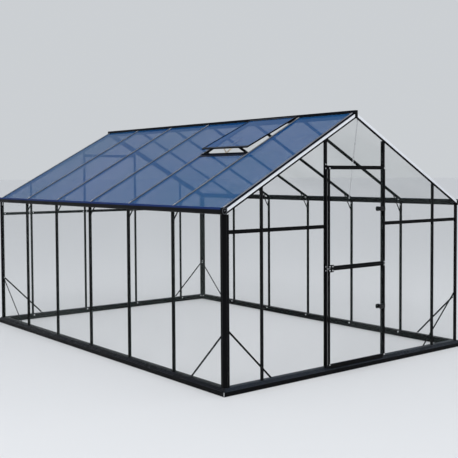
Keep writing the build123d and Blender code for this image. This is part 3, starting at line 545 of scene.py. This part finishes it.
def prism(bm, start, end, section, across, out):
    """A section of (across, out) pairs swept straight from start to end."""
    across = Vector(across)
    out = Vector(out)
    rings = []
    for place in (start, end):
        rings.append([Vector(place) + across * a + out * b for a, b in section])
    loft(bm, rings)


def upright(bm, x, y, top, section, out, hand=1):
    """A section swept up from the base to a height, on a wall that looks out."""
    across = (0, hand, 0) if out[0] else (hand, 0, 0)
    prism(bm, (x, y, BASE_TOP), (x, y, top), section, across, out)


def separate_solids(name):
    """Corner points of each separate solid of a node."""
    bm = bmesh.new()
    bm.from_mesh(frame["nodes"][name].data)
    bmesh.ops.remove_doubles(bm, verts=bm.verts, dist=1e-5)
    bm.verts.ensure_lookup_table()
    seen = set()
    found = []
    for vert in bm.verts:
        if vert.index in seen:
            continue
        stack = [vert]
        seen.add(vert.index)
        points = []
        while stack:
            here = stack.pop()
            points.append(tuple(here.co))
            for edge in here.link_edges:
                other = edge.other_vert(here)
                if other.index not in seen:
                    seen.add(other.index)
                    stack.append(other)
        found.append(np.array(points))
    bm.free()
    return found


def strap_ends(points, inset):
    """(two places on the middle plane near a strap's ends, its thin direction, half thickness)."""
    middle = points.mean(axis=0)
    axes = np.linalg.svd(points - middle)[2]
    along = (points - middle) @ axes[0]
    thin = (points - middle) @ axes[2]
    half = (thin.max() - thin.min()) / 2
    ends = [middle + axes[0] * (along.min() + inset), middle + axes[0] * (along.max() - inset)]
    return ends, axes[2], half


def add_strap_bolts(bm, node, inset, facing):
    """A nut near each end of a node's straps; facing says which way from a place is free."""
    for points in separate_solids(node):
        ends, thin, half = strap_ends(points, inset)
        for place in ends:
            direction = Vector(thin)
            if direction.dot(facing(place)) < 0:
                direction.negate()
            add_bolt(bm, Vector(place) + direction * half, direction)


def seat_z(x):
    """Height of the roof's glass seat at a distance x from the middle."""
    return APEX_SEAT_Z - abs(x) * math.tan(PITCH)


def slope_out(side):
    """Direction square out of one slope of the roof."""
    return Vector((side * math.sin(PITCH), 0, math.cos(PITCH)))


def slope_point(x, y, height=0.0):
    """Point over the roof's glass seat; height is square to the slope."""
    side = 1 if x > 0 else -1
    return Vector((x, y, seat_z(x))) + slope_out(side) * height


def along_slope(bm, side, y, xs, height, section, hand=1):
    """A section swept down a slope, between two distances from the middle of the house."""
    start, stop = (slope_point(side * x, y, height) for x in xs)
    prism(bm, start, stop, section, (0, hand, 0), slope_out(side))


# Fastenings of the frame

CORNER_BRACE_INSET = 0.014
ROOF_BRACE_INSET = 0.012
KNEE_BRACE_INSET = 0.010
HEAD_BOLT_Z = GUTTER_LOW - 0.016
GABLE_BOLT_DROP = BAR_DEPTH / math.cos(PITCH) + 0.035
RAFTER_BOLT_XS = (0.032, INNER_X - 0.014)
FOOT_BOLT_Z = 0.046
CORNER_BOLT_INSET = 0.026
RAIL_BOLT_INSET = 0.013
RAIL_BOLT_SIZE = 0.9
CAP_SCREW_XS = (0.034, HALF_WIDTH - 0.045)
SCREW_HEAD = [(0.0054, -0.0004), (0.0058, 0.0006), (0.0051, 0.0019), (0.0030, 0.0027)]


def draw_brace_fastenings(bm):
    """A nut at each end of every brace, on its free side."""
    def inward(place):
        """Level direction from a place to the middle of the house."""
        return Vector((-place[0], -place[1], 0))

    add_strap_bolts(bm, "corner_braces", CORNER_BRACE_INSET, inward)
    add_strap_bolts(bm, "roof_braces", ROOF_BRACE_INSET, lambda place: Vector((0, 0, -1)))
    add_strap_bolts(bm, "knee_braces", KNEE_BRACE_INSET, lambda place: Vector((0, 1, 0)))


def draw_bar_fastenings(bm):
    """Nuts in the bolt channels, at the bars' heads and at both ends of the rafters."""
    for side in (-1, 1):
        for y in BAR_YS:
            add_bolt(bm, (side * INNER_X, y, HEAD_BOLT_Z), (-side, 0, 0))
            for x in RAFTER_BOLT_XS:
                add_bolt(bm, slope_point(side * x, y, -BAR_DEPTH), -slope_out(side))
    for end, xs in GABLES:
        for x in xs:
            add_bolt(bm, (x, end * INNER_Y, seat_z(x) - GABLE_BOLT_DROP), (0, -end, 0))


def draw_foot_fastenings(bm):
    """Bright bolts on the base's inner faces, under the bars and by the corners."""
    base_x = HALF_WIDTH - BASE_INNER
    base_y = HALF_LENGTH - BASE_INNER
    corner_x = base_x - CORNER_BOLT_INSET
    corner_y = base_y - CORNER_BOLT_INSET
    for side in (-1, 1):
        for y in (-corner_y, *BAR_YS, corner_y):
            add_bolt(bm, (side * base_x, y, FOOT_BOLT_Z), (-side, 0, 0))
    for end, xs in GABLES:
        for x in (-corner_x, *xs, corner_x):
            add_bolt(bm, (x, end * base_y, FOOT_BOLT_Z), (0, -end, 0))


def draw_rail_fastenings(bm):
    """Bright bolts near both ends of each cross rail, on its inner face."""
    for node, end in (("front_cross_rails", -1), ("back_cross_rails", 1)):
        for points in separate_solids(node):
            low, high = points.min(axis=0), points.max(axis=0)
            face = high[1] if end < 0 else low[1]
            z = (low[2] + high[2]) / 2
            for x in (low[0] + RAIL_BOLT_INSET, high[0] - RAIL_BOLT_INSET):
                add_bolt(bm, (x, face, z), (0, -end, 0), RAIL_BOLT_SIZE)


def draw_cap_screws(bm):
    """Low round screw heads at the upper and lower ends of the roof's caps."""
    for side in (-1, 1):
        for y in CAP_YS:
            for x in CAP_SCREW_XS:
                lathe(bm, slope_point(side * x, y, CAP_TOP), slope_out(side), SCREW_HEAD, 18)


new_fastenings("cap_screws", draw_cap_screws)
new_fastenings("brace_fastenings", draw_brace_fastenings)
new_fastenings("foot_fastenings", draw_foot_fastenings, bright_zinc)
new_fastenings("rail_fastenings", draw_rail_fastenings, bright_zinc)
new_fastenings("bar_fastenings", draw_bar_fastenings)


# Fine lines of the extrusions: ribs on the base, beads on the posts and the caps

def bead_section(width, height):
    """Low rounded bead, flat side on the surface."""
    foot = -0.0003
    knee = height * 0.35
    crown = width * 0.26
    return [(width / 2, foot), (width / 2, knee), (crown, height), (-crown, height),
            (-width / 2, knee), (-width / 2, foot)]


RIB = bead_section(0.0035, 0.0013)
RIB_SHARES = (0.14, 0.5, 0.86)
KEY_STRIP = [(0.0, -0.0003), (0.008, -0.0003), (0.008, 0.0004), (0.0072, 0.0010),
             (0.0008, 0.0010), (0.0, 0.0004)]
KEY_LOW_Z = 0.004
POST_BEAD = bead_section(0.003, 0.0012)
POST_BEAD_INSETS = (0.0255, 0.0465)
CAP_BEAD = bead_section(0.005, 0.0012)
CAP_BEAD_XS = (0.043, HALF_WIDTH - 0.054)
CAP_BEAD_DROP = 0.046


def draw_base_ribs(bm):
    """Three ribs along the sloping face of each base rail, meeting at the corners."""
    run = BASE_STEP + BASE_SHOULDER
    rise = BASE_TOP - BASE_LIP_Z
    slant = math.hypot(run, rise)
    for share in RIB_SHARES:
        x = HALF_WIDTH + BASE_STEP - run * share
        y = HALF_LENGTH + BASE_STEP - run * share
        z = BASE_LIP_Z + rise * share
        for hand in (-1, 1):
            out = Vector((hand * rise, 0, run)) / slant
            prism(bm, (hand * x, -y, z), (hand * x, y, z), RIB,
                  Vector((0, 1, 0)).cross(out), out)
            out = Vector((0, hand * rise, run)) / slant
            prism(bm, (-x, hand * y, z), (x, hand * y, z), RIB,
                  Vector((1, 0, 0)).cross(out), out)


def draw_base_keys(bm):
    """The bare edge of the corner key that shows at each mitre of the base."""
    x = HALF_WIDTH + BASE_STEP
    y = HALF_LENGTH + BASE_STEP
    for side in (-1, 1):
        for end in (-1, 1):
            prism(bm, (side * x, end * y, KEY_LOW_Z), (side * x, end * y, BASE_LIP_Z),
                  KEY_STRIP, (0, -end, 0), (side, 0, 0))


def draw_post_beads(bm):
    """Two beads down each outer face of the corner posts."""
    for side in (-1, 1):
        for end in (-1, 1):
            for inset in POST_BEAD_INSETS:
                upright(bm, side * HALF_WIDTH, end * (HALF_LENGTH - inset), GUTTER_LOW,
                        POST_BEAD, (side, 0, 0))
                upright(bm, side * (HALF_WIDTH - inset), end * HALF_LENGTH, GUTTER_LOW,
                        POST_BEAD, (0, end, 0))


def draw_cap_beads(bm):
    """A bead along the middle of every bar cap on walls, gables and roof."""
    cap_x = HALF_WIDTH - GLASS_SEAT + CAP_TOP
    cap_y = HALF_LENGTH - GLASS_SEAT + CAP_TOP
    for side in (-1, 1):
        for y in BAR_YS:
            upright(bm, side * cap_x, y, GUTTER_LOW, CAP_BEAD, (side, 0, 0))
        for y in CAP_YS:
            along_slope(bm, side, y, CAP_BEAD_XS, CAP_TOP, CAP_BEAD)
    for end, xs in GABLES:
        for x in xs:
            upright(bm, x, end * cap_y, seat_z(x) - CAP_BEAD_DROP, CAP_BEAD, (0, end, 0))


END_RING_X = HALF_WIDTH - 0.0065
END_RING_Z = GUTTER_LOW + 0.0275
END_RING_HALF_WIDTH = 0.0220
END_RING_HALF_HEIGHT = 0.0245
END_RING_STEPS = 24
END_RING_SECTION = bead_section(0.0030, 0.0013)
END_FACE_Y = HALF_LENGTH + 0.004
END_BOLT_Z = END_RING_Z + 0.004
END_BOLT_SIZE = 0.75


def draw_gutter_end_rings(bm):
    """A raised oval ring with a bolt in it on each of the gutters' end caps."""
    for side in (-1, 1):
        for end in (-1, 1):
            out = Vector((0, end, 0))
            ring = []
            for i in range(END_RING_STEPS + 1):
                angle = math.tau * i / END_RING_STEPS
                x = END_RING_X + END_RING_HALF_WIDTH * math.cos(angle)
                z = END_RING_Z + END_RING_HALF_HEIGHT * math.sin(angle)
                ring.append(Vector((side * x, end * END_FACE_Y, z)))
            for first, second in zip(ring, ring[1:]):
                across = (second - first).normalized().cross(out)
                prism(bm, first, second, END_RING_SECTION, across, out)
            add_bolt(bm, (side * END_RING_X, end * END_FACE_Y, END_BOLT_Z), out, END_BOLT_SIZE)


new_piece("base_ribs", draw_base_ribs, bead_black)
new_piece("base_corner_keys", draw_base_keys, zinc)
new_piece("post_beads", draw_post_beads, bead_black)
new_piece("cap_beads", draw_cap_beads, bead_black)
new_piece("gutter_end_rings", draw_gutter_end_rings, dull_edge)


# Rubber lips that the bar caps press on the glass

LIP = [(0.0, 0.0), (0.0016, 0.0), (0.0010, 0.0012), (0.0, 0.0018)]
LIP_XS = (0.017, HALF_WIDTH - 0.012)
LIP_DROP = 0.044


def draw_gaskets(bm):
    """A lip along both edges of every cap; the verge caps have one, over the glass."""
    face_x = HALF_WIDTH - GLASS_SEAT + GLASS
    face_y = HALF_LENGTH - GLASS_SEAT + GLASS
    for hand in (-1, 1):
        edge = hand * CAP_HALF
        for side in (-1, 1):
            for y in BAR_YS:
                upright(bm, side * face_x, y + edge, GUTTER_LOW, LIP, (side, 0, 0), hand)
            for y in (-hand * VERGE_Y, *BAR_YS):
                along_slope(bm, side, y + edge, LIP_XS, GLASS, LIP, hand)
        for end, xs in GABLES:
            for x in xs:
                upright(bm, x + edge, end * face_y, seat_z(x + edge) - LIP_DROP, LIP,
                        (0, end, 0), hand)


new_piece("glazing_gaskets", draw_gaskets, gasket)


# Door handles

LEAF_OUTER_Y = -2.2495
LEAF_INNER_Y = -2.2315
SPINDLE_X = 0.342
SPINDLE_RADIUS = 0.004
LEVER_YS = (-2.2648, -2.2192)
ROSE_YS = (LEAF_OUTER_Y - 0.0033, LEAF_INNER_Y + 0.0003)
LEVER_BACK_X = SPINDLE_X + 0.006
LEVER_LENGTH = 0.076
LEVER_STEPS = 22
LEVER_SIDES = 20
HANDLE_ZS = (("lower", 0.535), ("upper", 1.442))


def lever_half_sizes(share):
    """Half height and half thickness of a lever at a share of its length from the spindle."""
    rise = min(1.0, max(0.0, (share - 0.16) / 0.32))
    flare = rise * rise * (3 - 2 * rise)
    tip = max(0.0, 1 - max(0.0, (share - 0.78) / 0.221) ** 3) ** 0.45
    back = math.sqrt(max(0.02, 1 - max(0.0, (0.10 - share) / 0.102) ** 2))
    half_height = (0.0125 + 0.0090 * flare) * tip * back
    half_thick = (0.0036 + 0.0014 * flare) * (0.45 + 0.55 * tip) * back
    return half_height, half_thick


def lever_ring(x, y, z, half_height, half_thick):
    """Rounded section of a lever across its length."""
    ring = []
    for i in range(LEVER_SIDES):
        angle = math.tau * i / LEVER_SIDES
        c, s = math.cos(angle), math.sin(angle)
        up = math.copysign(abs(c) ** 0.45, c) * half_height
        out = math.copysign(abs(s) ** 0.6, s) * half_thick
        ring.append((x, y + out, z + up))
    return ring


def draw_handle(bm, z):
    """Both paddle levers of a leaf's handle at a height, their roses and the spindle."""
    lathe(bm, (SPINDLE_X, LEVER_YS[0], z), (0, 1, 0),
          [(SPINDLE_RADIUS, 0.0), (SPINDLE_RADIUS, LEVER_YS[1] - LEVER_YS[0])], 16)
    for lever_y, rose_y, out in zip(LEVER_YS, ROSE_YS, (-1, 1)):
        reach = abs(lever_y - rose_y)
        rose = [(0.0098, 0.0), (0.0102, 0.0008), (0.0102, 0.0025), (0.0086, 0.0042),
                (0.0080, reach * 0.6), (0.0088, reach), (0.0068, reach + 0.0046),
                (0.0045, reach + 0.0050)]
        lathe(bm, (SPINDLE_X, rose_y, z), (0, out, 0), rose, 24)
        rings = []
        for i in range(LEVER_STEPS + 1):
            share = i / LEVER_STEPS
            x = LEVER_BACK_X - share * LEVER_LENGTH
            rings.append(lever_ring(x, lever_y, z, *lever_half_sizes(share)))
        loft(bm, rings)


for leaf, handle_z in HANDLE_ZS:
    handle = new_piece(f"{leaf}_paddle_handle", partial(draw_handle, z=handle_z), handle_black,
                       f"{leaf}_handle", smooth_angle=40)
    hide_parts(f"{leaf}_door_handle")


# Fastenings and seals of the door

POST_FRONT_Y = -2.225
LEAF_EDGE_X = 0.366
LOWER_LEAF_Z = (0.0685, 0.9314)
UPPER_LEAF_Z = (0.9366, 1.828)
SPLIT_Z = 0.934
PIVOT_ZS = (SPLIT_Z, UPPER_LEAF_Z[1] + 0.0025)
PIVOT_BOLT_X = -0.3792
PIVOT_BOLT_Y = POST_FRONT_Y - 0.004
PIVOT_BOLT_STEP = 0.017
PIVOT_BOLT_SIZE = 0.75
PIVOT_EDGE_XS = (-0.3850, -0.3430)
PIVOT_EDGE_Y = LEAF_OUTER_Y + 0.0011
PIVOT_EDGE = [(0.0, -0.0018), (0.0009, -0.0014), (0.0009, 0.0014), (0.0, 0.0018)]
PLATE_BOLT_XS = (-0.352, -0.318)
PLATE_FRONT_Y = LEAF_OUTER_Y - 0.003
PLATE_BOLT_SIZE = 0.9
PLATE_INSET_Z = 0.015
LOCK_BOLT_X = LEAF_EDGE_X - 0.010
LOCK_BOLT_INSET_Z = 0.012
HINGE_BOLT_X = 0.016 - LEAF_EDGE_X
HINGE_BOLT_INSET_Z = 0.014
HINGE_BOLT_SIZE = 0.85


def draw_door_fastenings(bm):
    """Bolts in the legs of the pivot brackets, and the bright edge of the middle one."""
    start, stop = ((x, PIVOT_EDGE_Y, SPLIT_Z) for x in PIVOT_EDGE_XS)
    prism(bm, start, stop, PIVOT_EDGE, (0, -1, 0), (0, 0, 1))
    for middle in PIVOT_ZS:
        for z in (middle - PIVOT_BOLT_STEP, middle + PIVOT_BOLT_STEP):
            add_bolt(bm, (PIVOT_BOLT_X, PIVOT_BOLT_Y, z), (0, -1, 0), PIVOT_BOLT_SIZE)


def draw_leaf_bolts(bm, low, high, plate_z):
    """Bolts at a leaf's corners and on the plate by its pivot at the split."""
    for x in PLATE_BOLT_XS:
        add_bolt(bm, (x, PLATE_FRONT_Y, plate_z), (0, -1, 0), PLATE_BOLT_SIZE)
    for z in (low + LOCK_BOLT_INSET_Z, high - LOCK_BOLT_INSET_Z):
        add_bolt(bm, (LOCK_BOLT_X, LEAF_OUTER_Y, z), (0, -1, 0))
    plate_is_high = plate_z > (low + high) / 2
    far_z = low + HINGE_BOLT_INSET_Z if plate_is_high else high - HINGE_BOLT_INSET_Z
    add_bolt(bm, (HINGE_BOLT_X, LEAF_OUTER_Y, far_z), (0, -1, 0), HINGE_BOLT_SIZE)


new_fastenings("door_fastenings", draw_door_fastenings)
for leaf, (low_z, high_z), leaf_plate_z in (
        ("lower", LOWER_LEAF_Z, LOWER_LEAF_Z[1] - PLATE_INSET_Z),
        ("upper", UPPER_LEAF_Z, UPPER_LEAF_Z[0] + PLATE_INSET_Z)):
    maker = partial(draw_leaf_bolts, low=low_z, high=high_z, plate_z=leaf_plate_z)
    new_fastenings(f"{leaf}_leaf_fastenings", maker, body=f"door_{leaf}")


def seal_section(width, height):
    """D-shaped section of a draught seal, flat side down."""
    return [(0.0, 0.0), (width, 0.0), (width, height * 0.65), (width * 0.8, height),
            (width * 0.2, height), (0.0, height * 0.65)]


HINGE_SEAL = seal_section(0.013, 0.0042)
HINGE_SEAL_X = -0.370
HINGE_SEAL_GAP = 0.0005
LOCK_SEAL = seal_section(0.006, 0.0053)
HEADER_SEAL_XS = (-0.359, 0.3595)
HEADER_SEAL_Z = 1.812
SPLIT_SEAL = [(-0.007, 0.0), (0.007, 0.0), (0.007, -0.0016), (0.0045, -0.0042),
              (-0.0045, -0.0042), (-0.007, -0.0016)]
SPLIT_SEAL_XS = (-0.333, 0.365)
SPLIT_SEAL_Y = (LEAF_OUTER_Y + LEAF_INNER_Y) / 2


def draw_door_frame_seals(bm):
    """Rubber strips on the posts and the header that the leaves close on."""
    def strip(x0, z0, x1, z1, section, across):
        """A section swept over the posts' front faces from (x0, z0) to (x1, z1)."""
        prism(bm, (x0, POST_FRONT_Y, z0), (x1, POST_FRONT_Y, z1), section, across, (0, -1, 0))

    for low, high in ((LOWER_LEAF_Z[0] + HINGE_SEAL_GAP, LOWER_LEAF_Z[1]),
                      (UPPER_LEAF_Z[0], UPPER_LEAF_Z[1] - HINGE_SEAL_GAP)):
        strip(HINGE_SEAL_X, low, HINGE_SEAL_X, high, HINGE_SEAL, (1, 0, 0))
    strip(LEAF_EDGE_X, LOWER_LEAF_Z[0], LEAF_EDGE_X, UPPER_LEAF_Z[1], LOCK_SEAL, (-1, 0, 0))
    strip(HEADER_SEAL_XS[0], HEADER_SEAL_Z, HEADER_SEAL_XS[1], HEADER_SEAL_Z, LOCK_SEAL,
          (0, 0, 1))


def draw_door_seal(bm):
    """Soft lip under the upper leaf that closes the split against draughts."""
    start, stop = ((x, SPLIT_SEAL_Y, UPPER_LEAF_Z[0]) for x in SPLIT_SEAL_XS)
    prism(bm, start, stop, SPLIT_SEAL, (0, 1, 0), (0, 0, 1))


new_piece("door_frame_seals", draw_door_frame_seals, gasket)
new_piece("door_split_seal", draw_door_seal, gasket, "door_upper")


# Corner brackets and the vent's opener

ANGLE_INNER_X = INNER_X + 0.003
ANGLE_WIDTH = 0.012
ANGLE_THICK = 0.0025
ANGLE_DROP = 0.041
ANGLE_REACH = 0.032
ANGLE_NUT_DROP = 0.028
ANGLE_NUT_SIZE = 0.8
ANGLE_SECTION = [(0.0, 0.0), (ANGLE_REACH, 0.0), (ANGLE_REACH, -ANGLE_THICK),
                 (ANGLE_THICK, -ANGLE_THICK), (ANGLE_THICK, -ANGLE_DROP), (0.0, -ANGLE_DROP)]
PIN_HEAD = [(0.0058, -0.0002), (0.0062, 0.0008), (0.0062, 0.0022), (0.0045, 0.0032)]
PIN_INSET = 0.005
PIN_RAISE = 0.006


def draw_corner_brackets(bm):
    """Plated angles under the gutters, inside the tops of the corner posts."""
    for side in (-1, 1):
        for end in (-1, 1):
            start, stop = ((side * x, end * INNER_Y, GUTTER_LOW)
                           for x in (ANGLE_INNER_X, ANGLE_INNER_X + ANGLE_WIDTH))
            prism(bm, start, stop, ANGLE_SECTION, (0, -end, 0), (0, 0, 1))
            nut = (side * (ANGLE_INNER_X + ANGLE_WIDTH / 2),
                   end * (INNER_Y - ANGLE_THICK), GUTTER_LOW - ANGLE_NUT_DROP)
            add_bolt(bm, nut, (0, -end, 0), ANGLE_NUT_SIZE)


def draw_opener_fastenings(bm):
    """Pin heads on the sides of the vent's opener."""
    low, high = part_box("opener_bracket")
    pin_x = high[0] - PIN_INSET
    pin_z = (low[2] + high[2]) / 2 + PIN_RAISE
    for out, y in ((-1, low[1]), (1, high[1])):
        lathe(bm, (pin_x, y, pin_z), (0, out, 0), PIN_HEAD, 20)


new_piece("corner_brackets", draw_corner_brackets, zinc)
new_fastenings("opener_fastenings", draw_opener_fastenings)


# Studio and camera

def add_floor():
    """Plain pale floor out to the horizon."""
    mesh = bpy.data.meshes.new("floor")
    corners = [(x * FLOOR_REACH, y * FLOOR_REACH, 0)
               for x, y in ((-1, -1), (1, -1), (1, 1), (-1, 1))]
    mesh.from_pydata(corners, [], [(0, 1, 2, 3)])
    floor = bpy.data.objects.new("floor", mesh)
    bpy.context.scene.collection.objects.link(floor)
    material, nodes, links, shader = new_material("floor")
    shader.inputs["Base Color"].default_value = (*FLOOR_PALE, 1.0)
    shader.inputs["Roughness"].default_value = 0.9
    mesh.materials.append(material)


def add_world():
    """Soft light all round; what looks at the world itself sees a pale grey."""
    world = bpy.data.worlds.new("studio")
    world.use_nodes = True
    nodes = world.node_tree.nodes
    links = world.node_tree.links
    path = nodes.new("ShaderNodeLightPath")
    seen = math_node(nodes, links, "MAXIMUM", path.outputs["Is Camera Ray"],
                     path.outputs["Is Glossy Ray"])
    seen = math_node(nodes, links, "MAXIMUM", seen, path.outputs["Is Transmission Ray"])
    light = nodes["Background"]
    light.inputs["Color"].default_value = (*WORLD_LIGHT, 1.0)
    light.inputs["Strength"].default_value = WORLD_STRENGTH
    backdrop = nodes.new("ShaderNodeBackground")
    backdrop.inputs["Color"].default_value = (*WORLD_SEEN, 1.0)
    backdrop.inputs["Strength"].default_value = 1.0
    mix = nodes.new("ShaderNodeMixShader")
    links.new(seen, mix.inputs["Fac"])
    links.new(light.outputs["Background"], mix.inputs[1])
    links.new(backdrop.outputs["Background"], mix.inputs[2])
    links.new(mix.outputs["Shader"], nodes["World Output"].inputs["Surface"])
    bpy.context.scene.world = world


def add_lamp(name, place, power):
    """A large round lamp that looks at the house."""
    data = bpy.data.lights.new(name, "AREA")
    data.shape = "DISK"
    data.size = LAMP_SIZE
    data.energy = power
    lamp = bpy.data.objects.new(name, data)
    lamp.location = place
    toward = Vector(LAMP_TARGET) - Vector(place)
    lamp.rotation_euler = toward.to_track_quat("-Z", "Y").to_euler()
    bpy.context.scene.collection.objects.link(lamp)


def add_camera():
    """The camera that was solved from the photo's parallel edges."""
    data = bpy.data.cameras.new("camera")
    data.sensor_width = SENSOR_WIDTH
    data.lens = FOCAL_PIXELS / IMAGE_PIXELS * SENSOR_WIDTH
    data.shift_x = 0.5 - PRINCIPAL_POINT[0] / IMAGE_PIXELS
    data.shift_y = PRINCIPAL_POINT[1] / IMAGE_PIXELS - 0.5
    data.clip_end = CLIP_END
    camera = bpy.data.objects.new("camera", data)
    flat = math.cos(CAMERA_PITCH)
    forward = Vector((math.sin(CAMERA_YAW) * flat, math.cos(CAMERA_YAW) * flat,
                      math.sin(CAMERA_PITCH)))
    level = Vector((math.cos(CAMERA_YAW), -math.sin(CAMERA_YAW), 0))
    right = level * math.cos(CAMERA_ROLL) + level.cross(forward) * math.sin(CAMERA_ROLL)
    up = right.cross(forward)
    turn = Matrix((right, up, -forward)).transposed().to_4x4()
    camera.matrix_world = Matrix.Translation(CAMERA_PLACE) @ turn
    bpy.context.scene.collection.objects.link(camera)
    bpy.context.scene.camera = camera


bpy.context.scene.view_settings.view_transform = "Standard"
add_floor()
add_world()
add_lamp("key", KEY_PLACE, KEY_POWER)
add_lamp("fill", FILL_PLACE, FILL_POWER)
add_camera()
